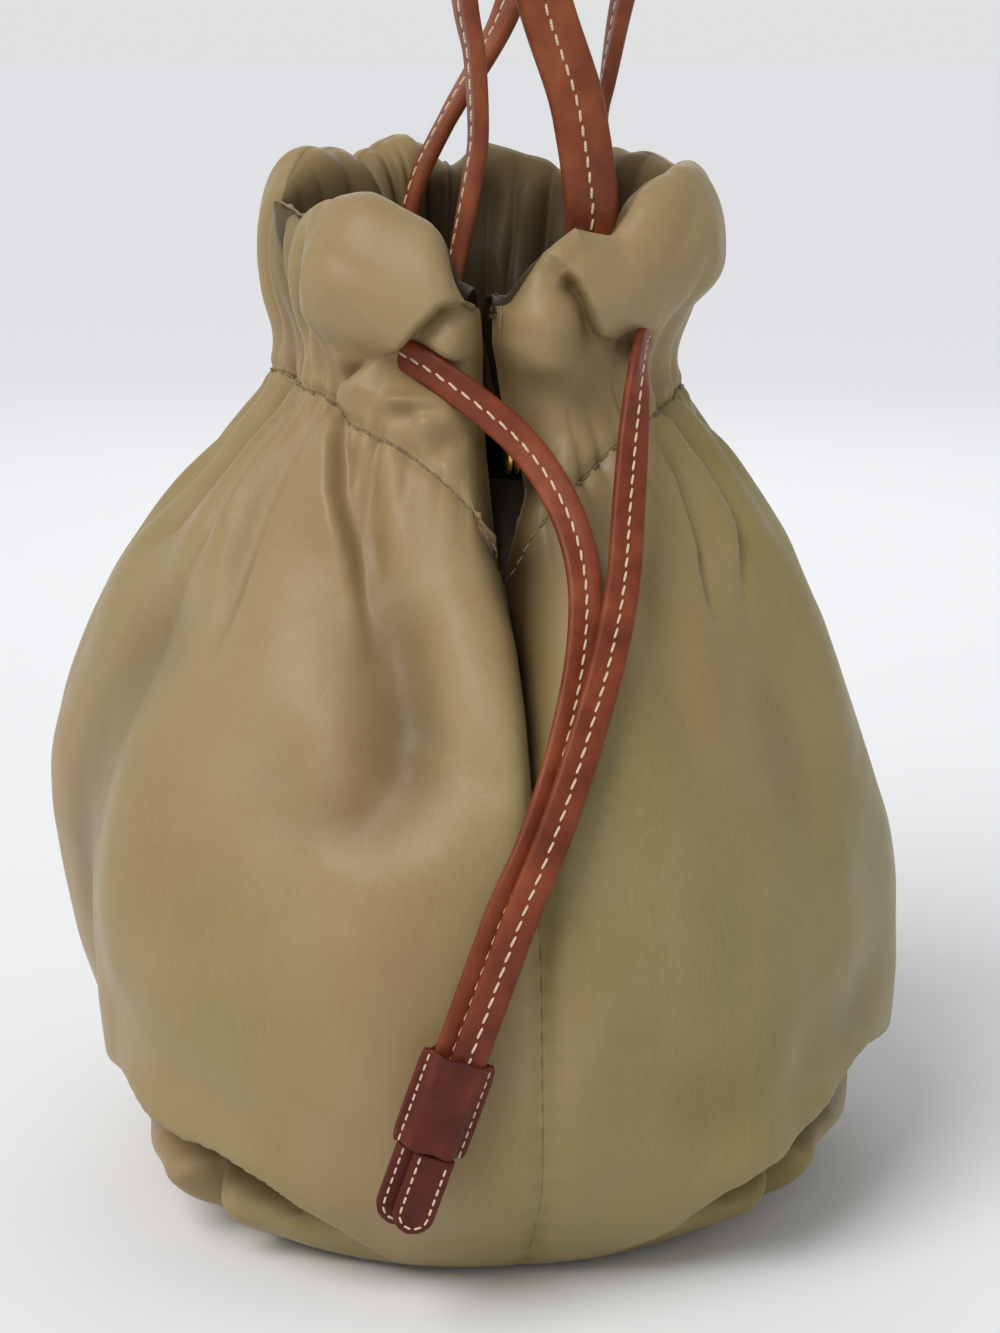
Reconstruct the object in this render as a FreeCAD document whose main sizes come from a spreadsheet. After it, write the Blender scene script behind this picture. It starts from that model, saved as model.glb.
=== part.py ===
import FreeCAD, Part
import Sketcher
import math
import os

from FreeCAD import Placement, Rotation, Vector

# A soft drawstring bucket bag, in millimetres.
# +Z is up and the bag stands on z = 0, over its own centre.
# The drawstring hangs down the -Y end, and the handles stand side by side in X.

doc = FreeCAD.newDocument("bucket_bag")
sheet = doc.addObject("Spreadsheet::Sheet", "sizes")

# Outer form of the bag: level name, height, half width in X, half depth in Y, centre in X.
OUTER_LEVELS = [
    ("base", 0, 84, 88, 0),
    ("foot", 12, 98, 104, 0),
    ("low", 45, 114, 120, 0),
    ("belly", 85, 119.5, 125, 0),
    ("chest", 120, 117, 122, 0),
    ("shoulder", 154, 105, 108, 0),
    ("slope", 184, 87, 90, 0),
    ("throat", 210, 67, 70, 0),
    ("neck", 229, 54, 56, 0),
    ("channel", 243, 59, 61, 2),
    ("ruffle", 263, 64, 67, 4),
    ("crown", 280, 61, 64, 4),
    ("rim", 289, 53, 58, 4),
]

# Inner face of the turned-down facing, from the stitch line up through the mouth.
MOUTH_LEVELS = [
    ("hem", 213, 60.3, 62.8, 0),
    ("funnel", 222, 50, 52, 0),
    ("waist", 229, 45.5, 48, 1),
    ("sleeve", 243, 45, 48, 3),
    ("lip", 263, 46, 52, 5),
    ("mouth", 300, 46, 52, 5),
]

SIZES = {
    "panel_wall": 2,
    "base_wall": 2,
    "lining_gap": 0.7,
    "lining_wall": 1.5,
    "lining_top": 213,
    "facing_wall": 2,
    "facing_bottom": 213.5,
    "facing_top": 279.7,
    "collar_bottom": 196,
    "seam_plane": 3,
    "slit_left": 1.7,
    "slit_right": 7.1,
    "slit_bottom": 196.5,
    "slit_depth": 45,
    "placket_wall": 1.5,
    "placket_bottom": 200,
    "placket_top": 235,
    "placket_depth": 52,
    "stud_diameter": 12.5,
    "stud_disc": 1.6,
    "stud_gap": 1.6,
    "stud_tip_gap": 0.3,
    "stud_ring_gap": 0.2,
    "stud_post_diameter": 7,
    "stud_post_hole": 7.4,
    "stud_ring_diameter": 9.6,
    "stud_depth": 60,
    "stud_height": 216,
    "stud_centre": 4.4,
    "strap_width": 9,
    "strap_thickness": 2.5,
    "loop_half_x": 51.5,
    "loop_half_y": 54,
    "loop_centre": 2.5,
    "loop_height": 243,
    "loop_left_end": -41.5,
    "loop_right_end": 51.8,
    "outlet_width": 20,
    "outlet_height": 17,
    "outlet_depth": 20,
    "handle_width": 14.5,
    "handle_thickness": 4,
    "handle_pivot_height": 296,
    "pivot_gap": 1.2,
    "toggle_width": 19,
    "toggle_length": 25,
    "toggle_leather": 1.6,
    "toggle_channel_width": 14,
    "toggle_channel_depth": 5.8,
    "toggle_fillet": 1.2,
    "toggle_x": -20.5,
    "toggle_y": -131.25,
    "toggle_z": 65,
    "toggle_tilt": 19.4,
    "end_tab_width": 10.5,
    "end_tab_length": 21,
    "end_tab_thickness": 3.2,
    "end_tab_splay": 0.15,
    "strap_end": 13.3,
    "far_clearance": 400,
}


def fill_sheet():
    """Write every driving size into the sheet, each with its alias."""
    rows = dict(SIZES)
    for name, height, half_x, half_y, centre in OUTER_LEVELS + MOUTH_LEVELS:
        rows[name + "_height"] = height
        rows[name + "_half_x"] = half_x
        rows[name + "_half_y"] = half_y
        rows[name + "_centre"] = centre
    for number, (alias, value) in enumerate(rows.items(), start=1):
        sheet.set(f"A{number}", alias)
        sheet.set(f"B{number}", str(value))
        sheet.setAlias(f"B{number}", alias)
    doc.recompute()


def size(alias):
    return float(getattr(sheet, alias))


fill_sheet()


# ---- building blocks ------------------------------------------------------------------------

def bind(item, **expressions):
    """Bind properties to the sheet; an underscore pair in a name stands for a dot."""
    for key, expression in expressions.items():
        item.setExpression(key.replace("__", "."), expression)
    return item


def oval(centre, half_x, half_y, height):
    """An ellipse, longer in Y, as two arcs that meet at its -X and +X ends."""
    middle = Vector(centre, 0, height)
    curve = Part.Ellipse(middle + Vector(0, half_y, 0), middle - Vector(half_x, 0, 0), middle)
    quarter = math.pi / 2
    arcs = [Part.ArcOfEllipse(curve, turn * quarter, (turn + 2) * quarter) for turn in (1, 3)]
    return Part.Wire([arc.toShape() for arc in arcs])


def level_loft(name, levels, inset=0.0, bottom=None, ruled=False):
    """A solid through one oval for each level, all drawn in by the same inset.

    A form with a bottom height of its own keeps the base oval's full size there.
    """
    ovals = []
    for level, *_ in levels:
        height = size(level + "_height")
        here = inset
        if bottom is not None and not ovals:
            height = bottom
            here = 0
        half_x = size(level + "_half_x") - here
        half_y = size(level + "_half_y") - here
        ovals.append(oval(size(level + "_centre"), half_x, half_y, height))
    return shape_item(name, Part.makeLoft(ovals, True, ruled))


def shape_item(name, shape):
    """A document object that holds a shape worked out in code."""
    item = doc.addObject("Part::Feature", name)
    item.Shape = shape
    return item


def block(name, x, y, z):
    """A box between two limits on each axis; a limit is a number or an expression in mm."""
    box = doc.addObject("Part::Box", name)
    for axis, side, (low, high) in zip("xyz", ("Length", "Width", "Height"), (x, y, z)):
        box.setExpression(side, f"({high}) * 1 mm - ({low}) * 1 mm")
        box.setExpression(f"Placement.Base.{axis}", f"({low}) * 1 mm")
    return box


def cut(name, base, tool):
    result = doc.addObject("Part::Cut", name)
    result.Base = base
    result.Tool = tool
    return result


def common(name, base, tool):
    result = doc.addObject("Part::Common", name)
    result.Base = base
    result.Tool = tool
    return result


def fuse(name, base, tool):
    result = doc.addObject("Part::Fuse", name)
    result.Base = base
    result.Tool = tool
    return result


NODES = []


def node(item, name):
    item.Label = name
    NODES.append(item)
    return item


FAR = "sizes.far_clearance"
LEFT_OF_SEAM = (f"-{FAR}", "sizes.seam_plane")
RIGHT_OF_SEAM = ("sizes.seam_plane", FAR)
WHOLE = (f"-{FAR}", FAR)
NEAR_END = (f"-{FAR}", "-sizes.slit_depth")
FAR_END = ("sizes.slit_depth", FAR)


# ---- nylon shell ----------------------------------------------------------------------------

outer_form = level_loft("outer_form", OUTER_LEVELS)
cavity_form = level_loft("cavity_form", OUTER_LEVELS[:-1], size("panel_wall"), size("base_wall"))
mouth_form = level_loft("mouth_form", MOUTH_LEVELS, ruled=True)


def base_panel():
    """The flat oval that the bag stands on."""
    slab = block("base_slab", WHOLE, WHOLE, (0, "sizes.base_wall"))
    return node(common("base_panel_solid", outer_form, slab), "base_panel")


def placket(side, end):
    """The turned-in edge of one panel beside the slit at one end, which carries a stud."""
    limits = {
        "left": ("sizes.slit_left - sizes.placket_wall", "sizes.slit_left"),
        "right": ("sizes.slit_right", "sizes.slit_right + sizes.placket_wall"),
    }
    depth = {
        "near": (f"-{FAR}", "-sizes.placket_depth"),
        "far": ("sizes.placket_depth", FAR),
    }
    name = f"{side}_{end}_placket"
    strip = block(name + "_strip", limits[side], depth[end], ("sizes.placket_bottom", "sizes.placket_top"))
    return common(name, outer_form, strip)


# Where each drawstring tail leaves its channel, in X and Y.
OUTLETS = {"left": (-28, -52), "right": (40, -48)}


def outlet(side):
    """The hole that a drawstring tail leaves its channel by."""
    x, y = OUTLETS[side]
    hole = doc.addObject("Part::Box", side + "_outlet")
    bind(
        hole,
        Length="sizes.outlet_width * 1 mm",
        Width="sizes.outlet_depth * 1 mm",
        Height="sizes.outlet_height * 1 mm",
        Placement__Base__x=f"{x} mm - sizes.outlet_width * 0.5 mm",
        Placement__Base__y=f"{y} mm - sizes.outlet_depth * 0.5 mm",
        Placement__Base__z="sizes.loop_height * 1 mm - sizes.outlet_height * 0.5 mm",
    )
    return hole


def slit(name, end, margin=0):
    """The open slit above the end seam, from just under the neck up through the rim."""
    across = (f"sizes.slit_left - {margin}", f"sizes.slit_right + {margin}")
    return block(name, across, end, ("sizes.slit_bottom", FAR))


def panels():
    """The two main panels, and the collar above each: the gathered casing and the folded rim."""
    wall = cut("wall", outer_form, cavity_form)
    wall = cut("wall_open", wall, mouth_form)
    wall = cut("wall_near_slit", wall, slit("near_slit", NEAR_END))
    wall = cut("wall_far_slit", wall, slit("far_slit", FAR_END))
    for side, limits in (("left", LEFT_OF_SEAM), ("right", RIGHT_OF_SEAM)):
        lower = block(side + "_lower_side", limits, WHOLE, ("sizes.base_wall", "sizes.collar_bottom"))
        node(common(side + "_lower", wall, lower), side + "_panel")
        upper = block(side + "_upper_side", limits, WHOLE, ("sizes.collar_bottom", FAR))
        collar = common(side + "_upper", wall, upper)
        collar = cut(side + "_pierced", collar, outlet(side))
        collar = fuse(side + "_near", collar, placket(side, "near"))
        collar = fuse(side + "_far", collar, placket(side, "far"))
        node(collar, side + "_collar")


def lining():
    """The lining: a thin bag inside the panels, in two halves and a base."""
    levels = OUTER_LEVELS[:9]
    gap = size("lining_gap")
    wall = size("lining_wall")
    inset = size("panel_wall") + gap
    bottom_inset = size("base_wall") + gap
    outside = level_loft("lining_outside", levels, inset, bottom_inset)
    inside = level_loft("lining_inside", levels, inset + wall, bottom_inset + wall)
    floor_top = "sizes.base_wall + sizes.lining_gap + sizes.lining_wall"
    floor = block("lining_floor", WHOLE, WHOLE, (0, floor_top))
    node(common("base_lining_solid", outside, floor), "base_lining")
    wall = cut("lining_wall_whole", outside, inside)
    wall = cut("lining_near_slit", wall, slit("lining_near", NEAR_END, "2 * sizes.placket_wall"))
    wall = cut("lining_far_slit", wall, slit("lining_far", FAR_END, "2 * sizes.placket_wall"))
    for side, limits in (("left", LEFT_OF_SEAM), ("right", RIGHT_OF_SEAM)):
        half = block(side + "_lining_side", limits, WHOLE, (floor_top, "sizes.lining_top"))
        node(common(side + "_lining_solid", wall, half), side + "_lining")


def facings():
    """The facing on each side: the rim's fabric turned down inside to close the channel."""
    outside = level_loft("facing_outside", MOUTH_LEVELS, -size("facing_wall"), ruled=True)
    wall = cut("facing_wall_whole", outside, mouth_form)
    wall = cut("facing_near_slit", wall, slit("facing_near", NEAR_END, "2 * sizes.placket_wall"))
    wall = cut("facing_far_slit", wall, slit("facing_far", FAR_END, "2 * sizes.placket_wall"))
    for side, limits in (("left", LEFT_OF_SEAM), ("right", RIGHT_OF_SEAM)):
        half = block(side + "_facing_side", limits, WHOLE, ("sizes.facing_bottom", "sizes.facing_top"))
        node(common(side + "_facing_solid", wall, half), side + "_facing")


# ---- press studs ----------------------------------------------------------------------------

def disc(name, diameter, start, end, y):
    """A cylinder along X between two X positions, at the studs' height."""
    round_bar = doc.addObject("Part::Cylinder", name)
    round_bar.Placement = Placement(Vector(), Rotation(Vector(0, 1, 0), 90))
    bind(
        round_bar,
        Radius=f"({diameter}) * 0.5 mm",
        Height=f"({end}) * 1 mm - ({start}) * 1 mm",
        Placement__Base__x=f"({start}) * 1 mm",
        Placement__Base__y=f"({y}) * 1 mm",
        Placement__Base__z="sizes.stud_height * 1 mm",
    )
    return round_bar


def press_stud(end, sign):
    """One stud: a cap with a post, and a socket with a ring that the post snaps into."""
    y = f"{sign} * sizes.stud_depth"
    middle = "sizes.stud_centre"
    half_gap = "sizes.stud_gap * 0.5"
    left = f"{middle} - {half_gap}"
    right = f"{middle} + {half_gap}"
    cap = disc(end + "_cap_disc", "sizes.stud_diameter", f"{left} - sizes.stud_disc", left, y)
    tip = f"{right} - sizes.stud_tip_gap"
    post = disc(end + "_cap_post", "sizes.stud_post_diameter", left, tip, y)
    node(fuse(end + "_cap_whole", cap, post), end + "_stud_cap")
    plate = disc(end + "_socket_disc", "sizes.stud_diameter", right, f"{right} + sizes.stud_disc", y)
    ring_face = f"{left} + sizes.stud_ring_gap"
    ring = disc(end + "_socket_ring", "sizes.stud_ring_diameter", ring_face, right, y)
    hole = disc(end + "_socket_hole", "sizes.stud_post_hole", left, right, y)
    ring = cut(end + "_socket_cup", ring, hole)
    node(fuse(end + "_socket_whole", plate, ring), end + "_stud_socket")


# ---- drawstring -----------------------------------------------------------------------------

# The line that both tails follow where they hang straight through the toggle.
TILT = math.radians(size("toggle_tilt"))
TOGGLE_CENTRE = Vector(size("toggle_x"), size("toggle_y"), size("toggle_z"))
ALONG = Vector(math.sin(TILT), 0, math.cos(TILT))
ACROSS = Vector(math.cos(TILT), 0, -math.sin(TILT))
ALONG_TURN = Rotation(Vector(0, 1, 0), size("toggle_tilt"))
STRAP_STEP = 1.35
STRAP_SHIFT = 2.0
STRAIGHT_TOP = 52


def on_line(side, distance):
    """A point on a tail's straight stretch: the right tail lies in front, a little to +X."""
    sign = 1 if side == "right" else -1
    point = TOGGLE_CENTRE + ACROSS * (sign * STRAP_SHIFT) + ALONG * distance
    return point + Vector(0, -sign * STRAP_STEP, 0)


# Each tail's route, from the end of the loop in the channel to its end tab.  The last number
# of a point is the heading of the strap's outer face, in degrees about Z from +X.
TAIL_ROUTES = {
    "left": [
        (Vector(-40, -30.5, 243), -147),
        (Vector(-29.5, -46.6, 243.5), -130),
        (Vector(-19.5, -60.5, 239.5), -112),
        (Vector(-6, -66.5, 230), -98),
        (Vector(7, -71, 219), -90),
        (Vector(16.5, -78.5, 204), -84),
        (Vector(20, -90, 188), -84),
        (Vector(18, -101.5, 172), -86),
        (Vector(13.5, -112, 157), -88),
        (Vector(8, -120.5, 142), -90),
        (Vector(2, -126.5, 128), -90),
        (on_line("left", STRAIGHT_TOP), -90),
        (on_line("left", -size("strap_end")), -90),
    ],
    "right": [
        (Vector(50, -20.9, 243), -22),
        (Vector(42, -41, 244.5), -28),
        (Vector(38.5, -55.5, 238.5), -45),
        (Vector(36, -64, 224), -72),
        (Vector(32.5, -78, 205), -84),
        (Vector(29, -94, 187), -86),
        (Vector(23.5, -107.5, 171), -88),
        (Vector(17, -118, 155.5), -90),
        (Vector(10.5, -126, 140), -90),
        (Vector(4.5, -130.8, 126.5), -90),
        (on_line("right", STRAIGHT_TOP), -90),
        (on_line("right", -size("strap_end")), -90),
    ],
}
TAIL_SECTIONS = 60

# How much of each run beside a corner the arc there may take.
BEND_SHARE = 0.45


def heading(degrees):
    return Vector(math.cos(math.radians(degrees)), math.sin(math.radians(degrees)), 0)


def rounded_route(points):
    """Straight runs joined by tangent arcs, each as large as its two runs allow."""
    edges = []
    radii = []
    start = points[0]
    for before, corner, after in zip(points, points[1:], points[2:]):
        back = before - corner
        ahead = after - corner
        half_turn = (math.pi - back.getAngle(ahead)) / 2
        reach = BEND_SHARE * min(back.Length, ahead.Length)
        radii.append(reach / math.tan(half_turn))
        enter = corner + back.normalize() * reach
        leave = corner + ahead.normalize() * reach
        inward = (back + ahead).normalize()
        middle = corner + inward * (radii[-1] / math.cos(half_turn) - radii[-1])
        edges.append(Part.LineSegment(start, enter).toShape())
        edges.append(Part.Arc(enter, middle, leave).toShape())
        start = leave
    edges.append(Part.LineSegment(start, points[-1]).toShape())
    return Part.Wire(edges), radii


def flat_section(centre, along, across, width, thickness):
    """A strap's rectangular section, square to its path."""
    across = (across - along * across.dot(along)).normalize()
    normal = along.cross(across)
    w = across * (width / 2)
    t = normal * (thickness / 2)
    corners = [centre - w - t, centre + w - t, centre + w + t, centre - w + t]
    return Part.makePolygon(corners + corners[:1])


def tail(side):
    """One free tail of the drawstring, from the loop's end to its end tab."""
    corners = [point for point, _ in TAIL_ROUTES[side]]
    path, radii = rounded_route(corners)
    width = size("strap_width")
    thickness = size("strap_thickness")
    places = path.discretize(TAIL_SECTIONS)
    sections = []
    for number, place in enumerate(places):
        before = places[max(number - 1, 0)]
        after = places[min(number + 1, len(places) - 1)]
        along = (after - before).normalize()
        outward = heading(face_heading(TAIL_ROUTES[side], place))
        sections.append(flat_section(place, along, along.cross(outward), width, thickness))
    strap = Part.makeLoft(sections, True, True)
    if strap.Volume < 0:
        strap.reverse()
    print(
        f"{side} tail: length {path.Length:.1f}, volume {strap.Volume:.0f},",
        f"section x length {width * thickness * path.Length:.0f},",
        "radii " + " ".join(f"{radius:.0f}" for radius in radii),
    )
    node(shape_item(side + "_tail_strap", strap), f"drawstring_{side}_tail")


def face_heading(route, place):
    """The heading of the strap's face at a place, between those of the route's two points beside it."""
    def nearness(pair):
        (start, _), (end, _) = pair
        share = max(0, min(1, (place - start).dot(end - start) / (end - start).Length ** 2))
        return (start + (end - start) * share - place).Length, share

    pairs = list(zip(route, route[1:]))
    number = min(range(len(pairs)), key=lambda index: nearness(pairs[index])[0])
    share = nearness(pairs[number])[1]
    return pairs[number][0][1] * (1 - share) + pairs[number][1][1] * share


def drawstring_loop():
    """The part of the drawstring that runs round the bag inside the channel."""
    rings = []
    for name, sign in (("loop_outside", 1), ("loop_inside", -1)):
        profile = doc.addObject("Part::Ellipse", name + "_profile")
        profile.Placement = Placement(Vector(), Rotation(Vector(0, 0, 1), 90))
        bind(
            profile,
            MajorRadius=f"(sizes.loop_half_y + {sign} * sizes.strap_thickness / 2) * 1 mm",
            MinorRadius=f"(sizes.loop_half_x + {sign} * sizes.strap_thickness / 2) * 1 mm",
            Placement__Base__x="sizes.loop_centre * 1 mm",
            Placement__Base__z="(sizes.loop_height - sizes.strap_width / 2) * 1 mm",
        )
        solid = doc.addObject("Part::Extrusion", name)
        solid.Base = profile
        solid.Dir = Vector(0, 0, 1)
        solid.Solid = True
        solid.setExpression("LengthFwd", "sizes.strap_width * 1 mm")
        rings.append(solid)
    ring = cut("loop_ring", *rings)
    gap = block("loop_gap", ("sizes.loop_left_end", "sizes.loop_right_end"), (f"-{FAR}", 0), WHOLE)
    node(cut("loop_open", ring, gap), "drawstring_loop")


# ---- toggle and end tabs --------------------------------------------------------------------

def plane_of(body, role):
    return next(plane for plane in body.Origin.OriginFeatures if plane.Role == role)


def rectangle(body, name, width, depth):
    """A sketch of a rectangle, centred in X, that stands on the X axis."""
    sketch = body.newObject("Sketcher::SketchObject", name)
    sketch.AttachmentSupport = [(plane_of(body, "XY_Plane"), "")]
    sketch.MapMode = "FlatFace"
    draft = [(-5, 1), (5, 1), (5, 4), (-5, 4)]
    for start, end in zip(draft, draft[1:] + draft[:1]):
        sketch.addGeometry(Part.LineSegment(Vector(*start, 0), Vector(*end, 0)), False)
    for first, second in ((0, 1), (1, 2), (2, 3), (3, 0)):
        sketch.addConstraint(Sketcher.Constraint("Coincident", first, 2, second, 1))
    sketch.addConstraint(Sketcher.Constraint("Horizontal", 2))
    for line in (1, 3):
        sketch.addConstraint(Sketcher.Constraint("Vertical", line))
    sketch.addConstraint(Sketcher.Constraint("Symmetric", 0, 1, 0, 2, -2))
    across = sketch.addConstraint(Sketcher.Constraint("DistanceX", 0, 1, 0, 2, 10))
    up = sketch.addConstraint(Sketcher.Constraint("DistanceY", 1, 1, 1, 2, 3))
    sketch.setExpression(f"Constraints[{across}]", width)
    sketch.setExpression(f"Constraints[{up}]", depth)
    sketch.addConstraint(Sketcher.Constraint("PointOnObject", 0, 1, -1))
    return sketch


def padded_body(name, width, depth, length):
    """A PartDesign body: a rectangle padded up along its own Z."""
    body = doc.addObject("PartDesign::Body", name + "_body")
    sketch = rectangle(body, name + "_outline", width, depth)
    pad = body.newObject("PartDesign::Pad", name + "_pad")
    pad.Profile = sketch
    pad.setExpression("Length", length)
    doc.recompute()
    return body, pad


TOUCH = 0.1  # how close an edge's middle lies to the place it is looked for at


def edges_where(shape, test):
    return [f"Edge{number}" for number, edge in enumerate(shape.Edges, start=1) if test(edge)]


def rounded(body, name, base, edges, radius):
    fillet = body.newObject("PartDesign::Fillet", name)
    fillet.Base = (base, edges)
    fillet.setExpression("Radius", radius)
    doc.recompute()
    return fillet


def toggle_half(side):
    """One leather layer of the toggle: a plate with a channel for the two straps."""
    name = "toggle_" + side
    depth = "(sizes.toggle_channel_depth / 2 + sizes.toggle_leather) * 1 mm"
    body, pad = padded_body(name, "sizes.toggle_width * 1 mm", depth, "sizes.toggle_length * 1 mm")
    channel_depth = "sizes.toggle_channel_depth / 2 * 1 mm"
    channel = rectangle(body, name + "_channel", "sizes.toggle_channel_width * 1 mm", channel_depth)
    pocket = body.newObject("PartDesign::Pocket", name + "_pocket")
    pocket.Profile = channel
    pocket.Reversed = True
    pocket.setExpression("Length", "sizes.toggle_length * 1 mm")
    doc.recompute()
    half = size("toggle_width") / 2
    outside = size("toggle_channel_depth") / 2 + size("toggle_leather")
    corners = edges_where(
        pocket.Shape,
        lambda edge: edge.CenterOfMass.y > outside - TOUCH and abs(abs(edge.CenterOfMass.x) - half) < TOUCH,
    )
    rounded(body, name + "_fillet", pocket, corners, "sizes.toggle_fillet * 1 mm")
    turn = Rotation(ALONG_TURN)
    if side == "front":
        turn = turn.multiply(Rotation(Vector(0, 0, 1), 180))
    body.Placement = Placement(TOGGLE_CENTRE - ALONG * (size("toggle_length") / 2), turn)
    node(body, name)


def end_tab(side):
    """The folded leather tab sewn over one end of the drawstring."""
    name = side + "_end_tab"
    body, pad = padded_body(
        name,
        "sizes.end_tab_width * 1 mm",
        "sizes.end_tab_thickness * 1 mm",
        "sizes.end_tab_length * 1 mm",
    )
    half = size("end_tab_width") / 2
    low_corners = edges_where(
        pad.Shape,
        lambda edge: abs(edge.CenterOfMass.z) < TOUCH and abs(abs(edge.CenterOfMass.x) - half) < TOUCH,
    )
    rounded(body, name + "_round_end", pad, low_corners, "sizes.end_tab_width * 0.5 mm - 0.05 mm")
    top = on_line(side, -size("strap_end"))
    top.y = TOGGLE_CENTRE.y - size("end_tab_thickness") / 2
    splay = size("end_tab_thickness") / 2 + size("end_tab_splay")
    top.y += -splay if side == "right" else splay
    body.Placement = Placement(top - ALONG * size("end_tab_length"), ALONG_TURN)
    node(body, name)


# ---- handles --------------------------------------------------------------------------------

# Each handle as points on its centre line and the direction of its width, in degrees about Z.
# The first and last points are where it bends, just above the rim.
PIVOT = size("handle_pivot_height")
HANDLES = {
    "left": [
        (-2.1, -38, PIVOT, 92),
        (-3, -37.5, 316, 94),
        (-5.5, -36.5, 330.6, 99),
        (-10, -34, 368, 112),
        (-13, -29, 408, 130),
        (-9.5, -18, 446, 142),
        (5, -1, 468, 143),
        (20.5, 15, 455, 143),
        (30, 25, 424, 140),
        (29, 31, 388, 131),
        (21, 34.5, 352, 119),
        (12.9, 36, 324, 105),
        (-3, 37, PIVOT, 92),
    ],
    "right": [
        (25.9, -35, PIVOT, 0),
        (23.3, -35, 307.8, -3),
        (15.7, -34, 330.5, -9),
        (9, -32, 360, -20),
        (8, -29, 400, -33),
        (16, -18, 443, -42),
        (35.5, 0.5, 465, -44),
        (52.5, 17, 445, -47),
        (58, 27, 404, -55),
        (54, 28, 362, -68),
        (45.5, 24.5, 330, -84),
        (41.2, 22, 308, -95),
        (39, 21, PIVOT, -100),
    ],
}

# Each sewn end, from its bend down to its lower end inside the mouth, in the same form.
ANCHORS = {
    ("left", "near"): [(-6, -38, 272, 90), (-9, -37.5, 255, 84), (-10, -37, 238, 78)],
    ("left", "far"): [(-12, 37, 277, 92), (-16, 35.5, 258, 92), (-17, 33, 238, 92)],
    ("right", "near"): [(28.6, -34.5, 274, 0), (27, -32, 256, 2), (24, -31, 238, 4)],
    ("right", "far"): [(39, 21, 274, -100), (37.5, 20.5, 256, -98), (35, 19.5, 238, -95)],
}


def flat_strap(points, width, thickness, steps=3):
    """A leather strap as a ruled solid through rectangular sections along a smooth centre line."""
    curve = Part.BSplineCurve()
    curve.interpolate([Vector(x, y, z) for x, y, z, _ in points])
    knots = curve.getKnots()
    sections = []
    for number, (low, high) in enumerate(zip(knots, knots[1:])):
        last = number == len(knots) - 2
        for step in range(steps + int(last)):
            share = step / steps
            place = low + (high - low) * share
            turn = points[number][3] * (1 - share) + points[number + 1][3] * share
            along = curve.tangent(place)[0]
            sections.append(flat_section(curve.value(place), along, heading(turn), width, thickness))
    strap = Part.makeLoft(sections, True, True)
    if strap.Volume < 0:
        strap.reverse()
    return strap


def pivot_ends(side):
    """The two points where a handle bends, and the direction of its hinge axis."""
    near = Vector(*HANDLES[side][0][:3])
    far = Vector(*HANDLES[side][-1][:3])
    return near, far, (far - near).normalize()


def knuckle(base, axis, side, end):
    """The rounded end of one leg, centred on the hinge axis, and how far it reaches below."""
    width = size("handle_width")
    thickness = size("handle_thickness")
    if (side, end) == ("right", "near"):
        width, thickness = thickness, width
    radius = thickness / 2
    return Part.makeCylinder(radius, width, base - axis * (width / 2), axis), radius


def handle(side):
    """One handle above the rim, from bend to bend."""
    near, far, axis = pivot_ends(side)
    strap = flat_strap(HANDLES[side], size("handle_width"), size("handle_thickness"))
    ends = [knuckle(base, axis, side, end)[0] for base, end in ((near, "near"), (far, "far"))]
    whole = strap.fuse(ends).removeSplitter()
    if whole.Volume < 0:
        whole.reverse()
    node(shape_item(side + "_handle_strap", whole), side + "_handle")


def anchor(side, end):
    """The sewn end of one handle leg, inside the mouth."""
    near, far, axis = pivot_ends(side)
    base = near if end == "near" else far
    reach = knuckle(base, axis, side, end)[1] + size("pivot_gap")
    points = ANCHORS[(side, end)]
    lower = Vector(*points[0][:3])
    top = base + (lower - base).normalize() * reach
    turn = HANDLES[side][0 if end == "near" else -1][3]
    route = [(top.x, top.y, top.z, turn)] + points
    strap = flat_strap(route, size("handle_width"), size("handle_thickness"))
    node(shape_item(f"{side}_{end}_strap_end", strap), f"{side}_handle_{end}_anchor")


# ---- assembly -------------------------------------------------------------------------------

def build_all():
    base_panel()
    panels()
    lining()
    facings()
    drawstring_loop()
    press_stud("near", -1)
    press_stud("far", 1)
    for side in ("left", "right"):
        tail(side)
        end_tab(side)
        handle(side)
        for end in ("near", "far"):
            anchor(side, end)
    for side in ("front", "back"):
        toggle_half(side)
    doc.recompute()


def check_all():
    """Stop if any object failed, or if a sub-part is empty, invalid or in pieces."""
    for item in doc.Objects:
        if "Invalid" in item.State or "Error" in item.State:
            raise RuntimeError(f"{item.Name} failed: {item.State}")
    for item in NODES:
        shape = item.Shape
        if shape.isNull() or not shape.isValid() or len(shape.Solids) != 1 or shape.Volume <= 0:
            raise RuntimeError(f"{item.Label} is not one valid solid")


def export_all():
    os.makedirs("parts", exist_ok=True)
    for item in NODES:
        item.Shape.exportStep(f"parts/{item.Label}.step")
        print(f"{item.Label}: {item.Shape.Volume:.0f} mm3")


build_all()
check_all()
export_all()
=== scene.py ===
import math

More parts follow.
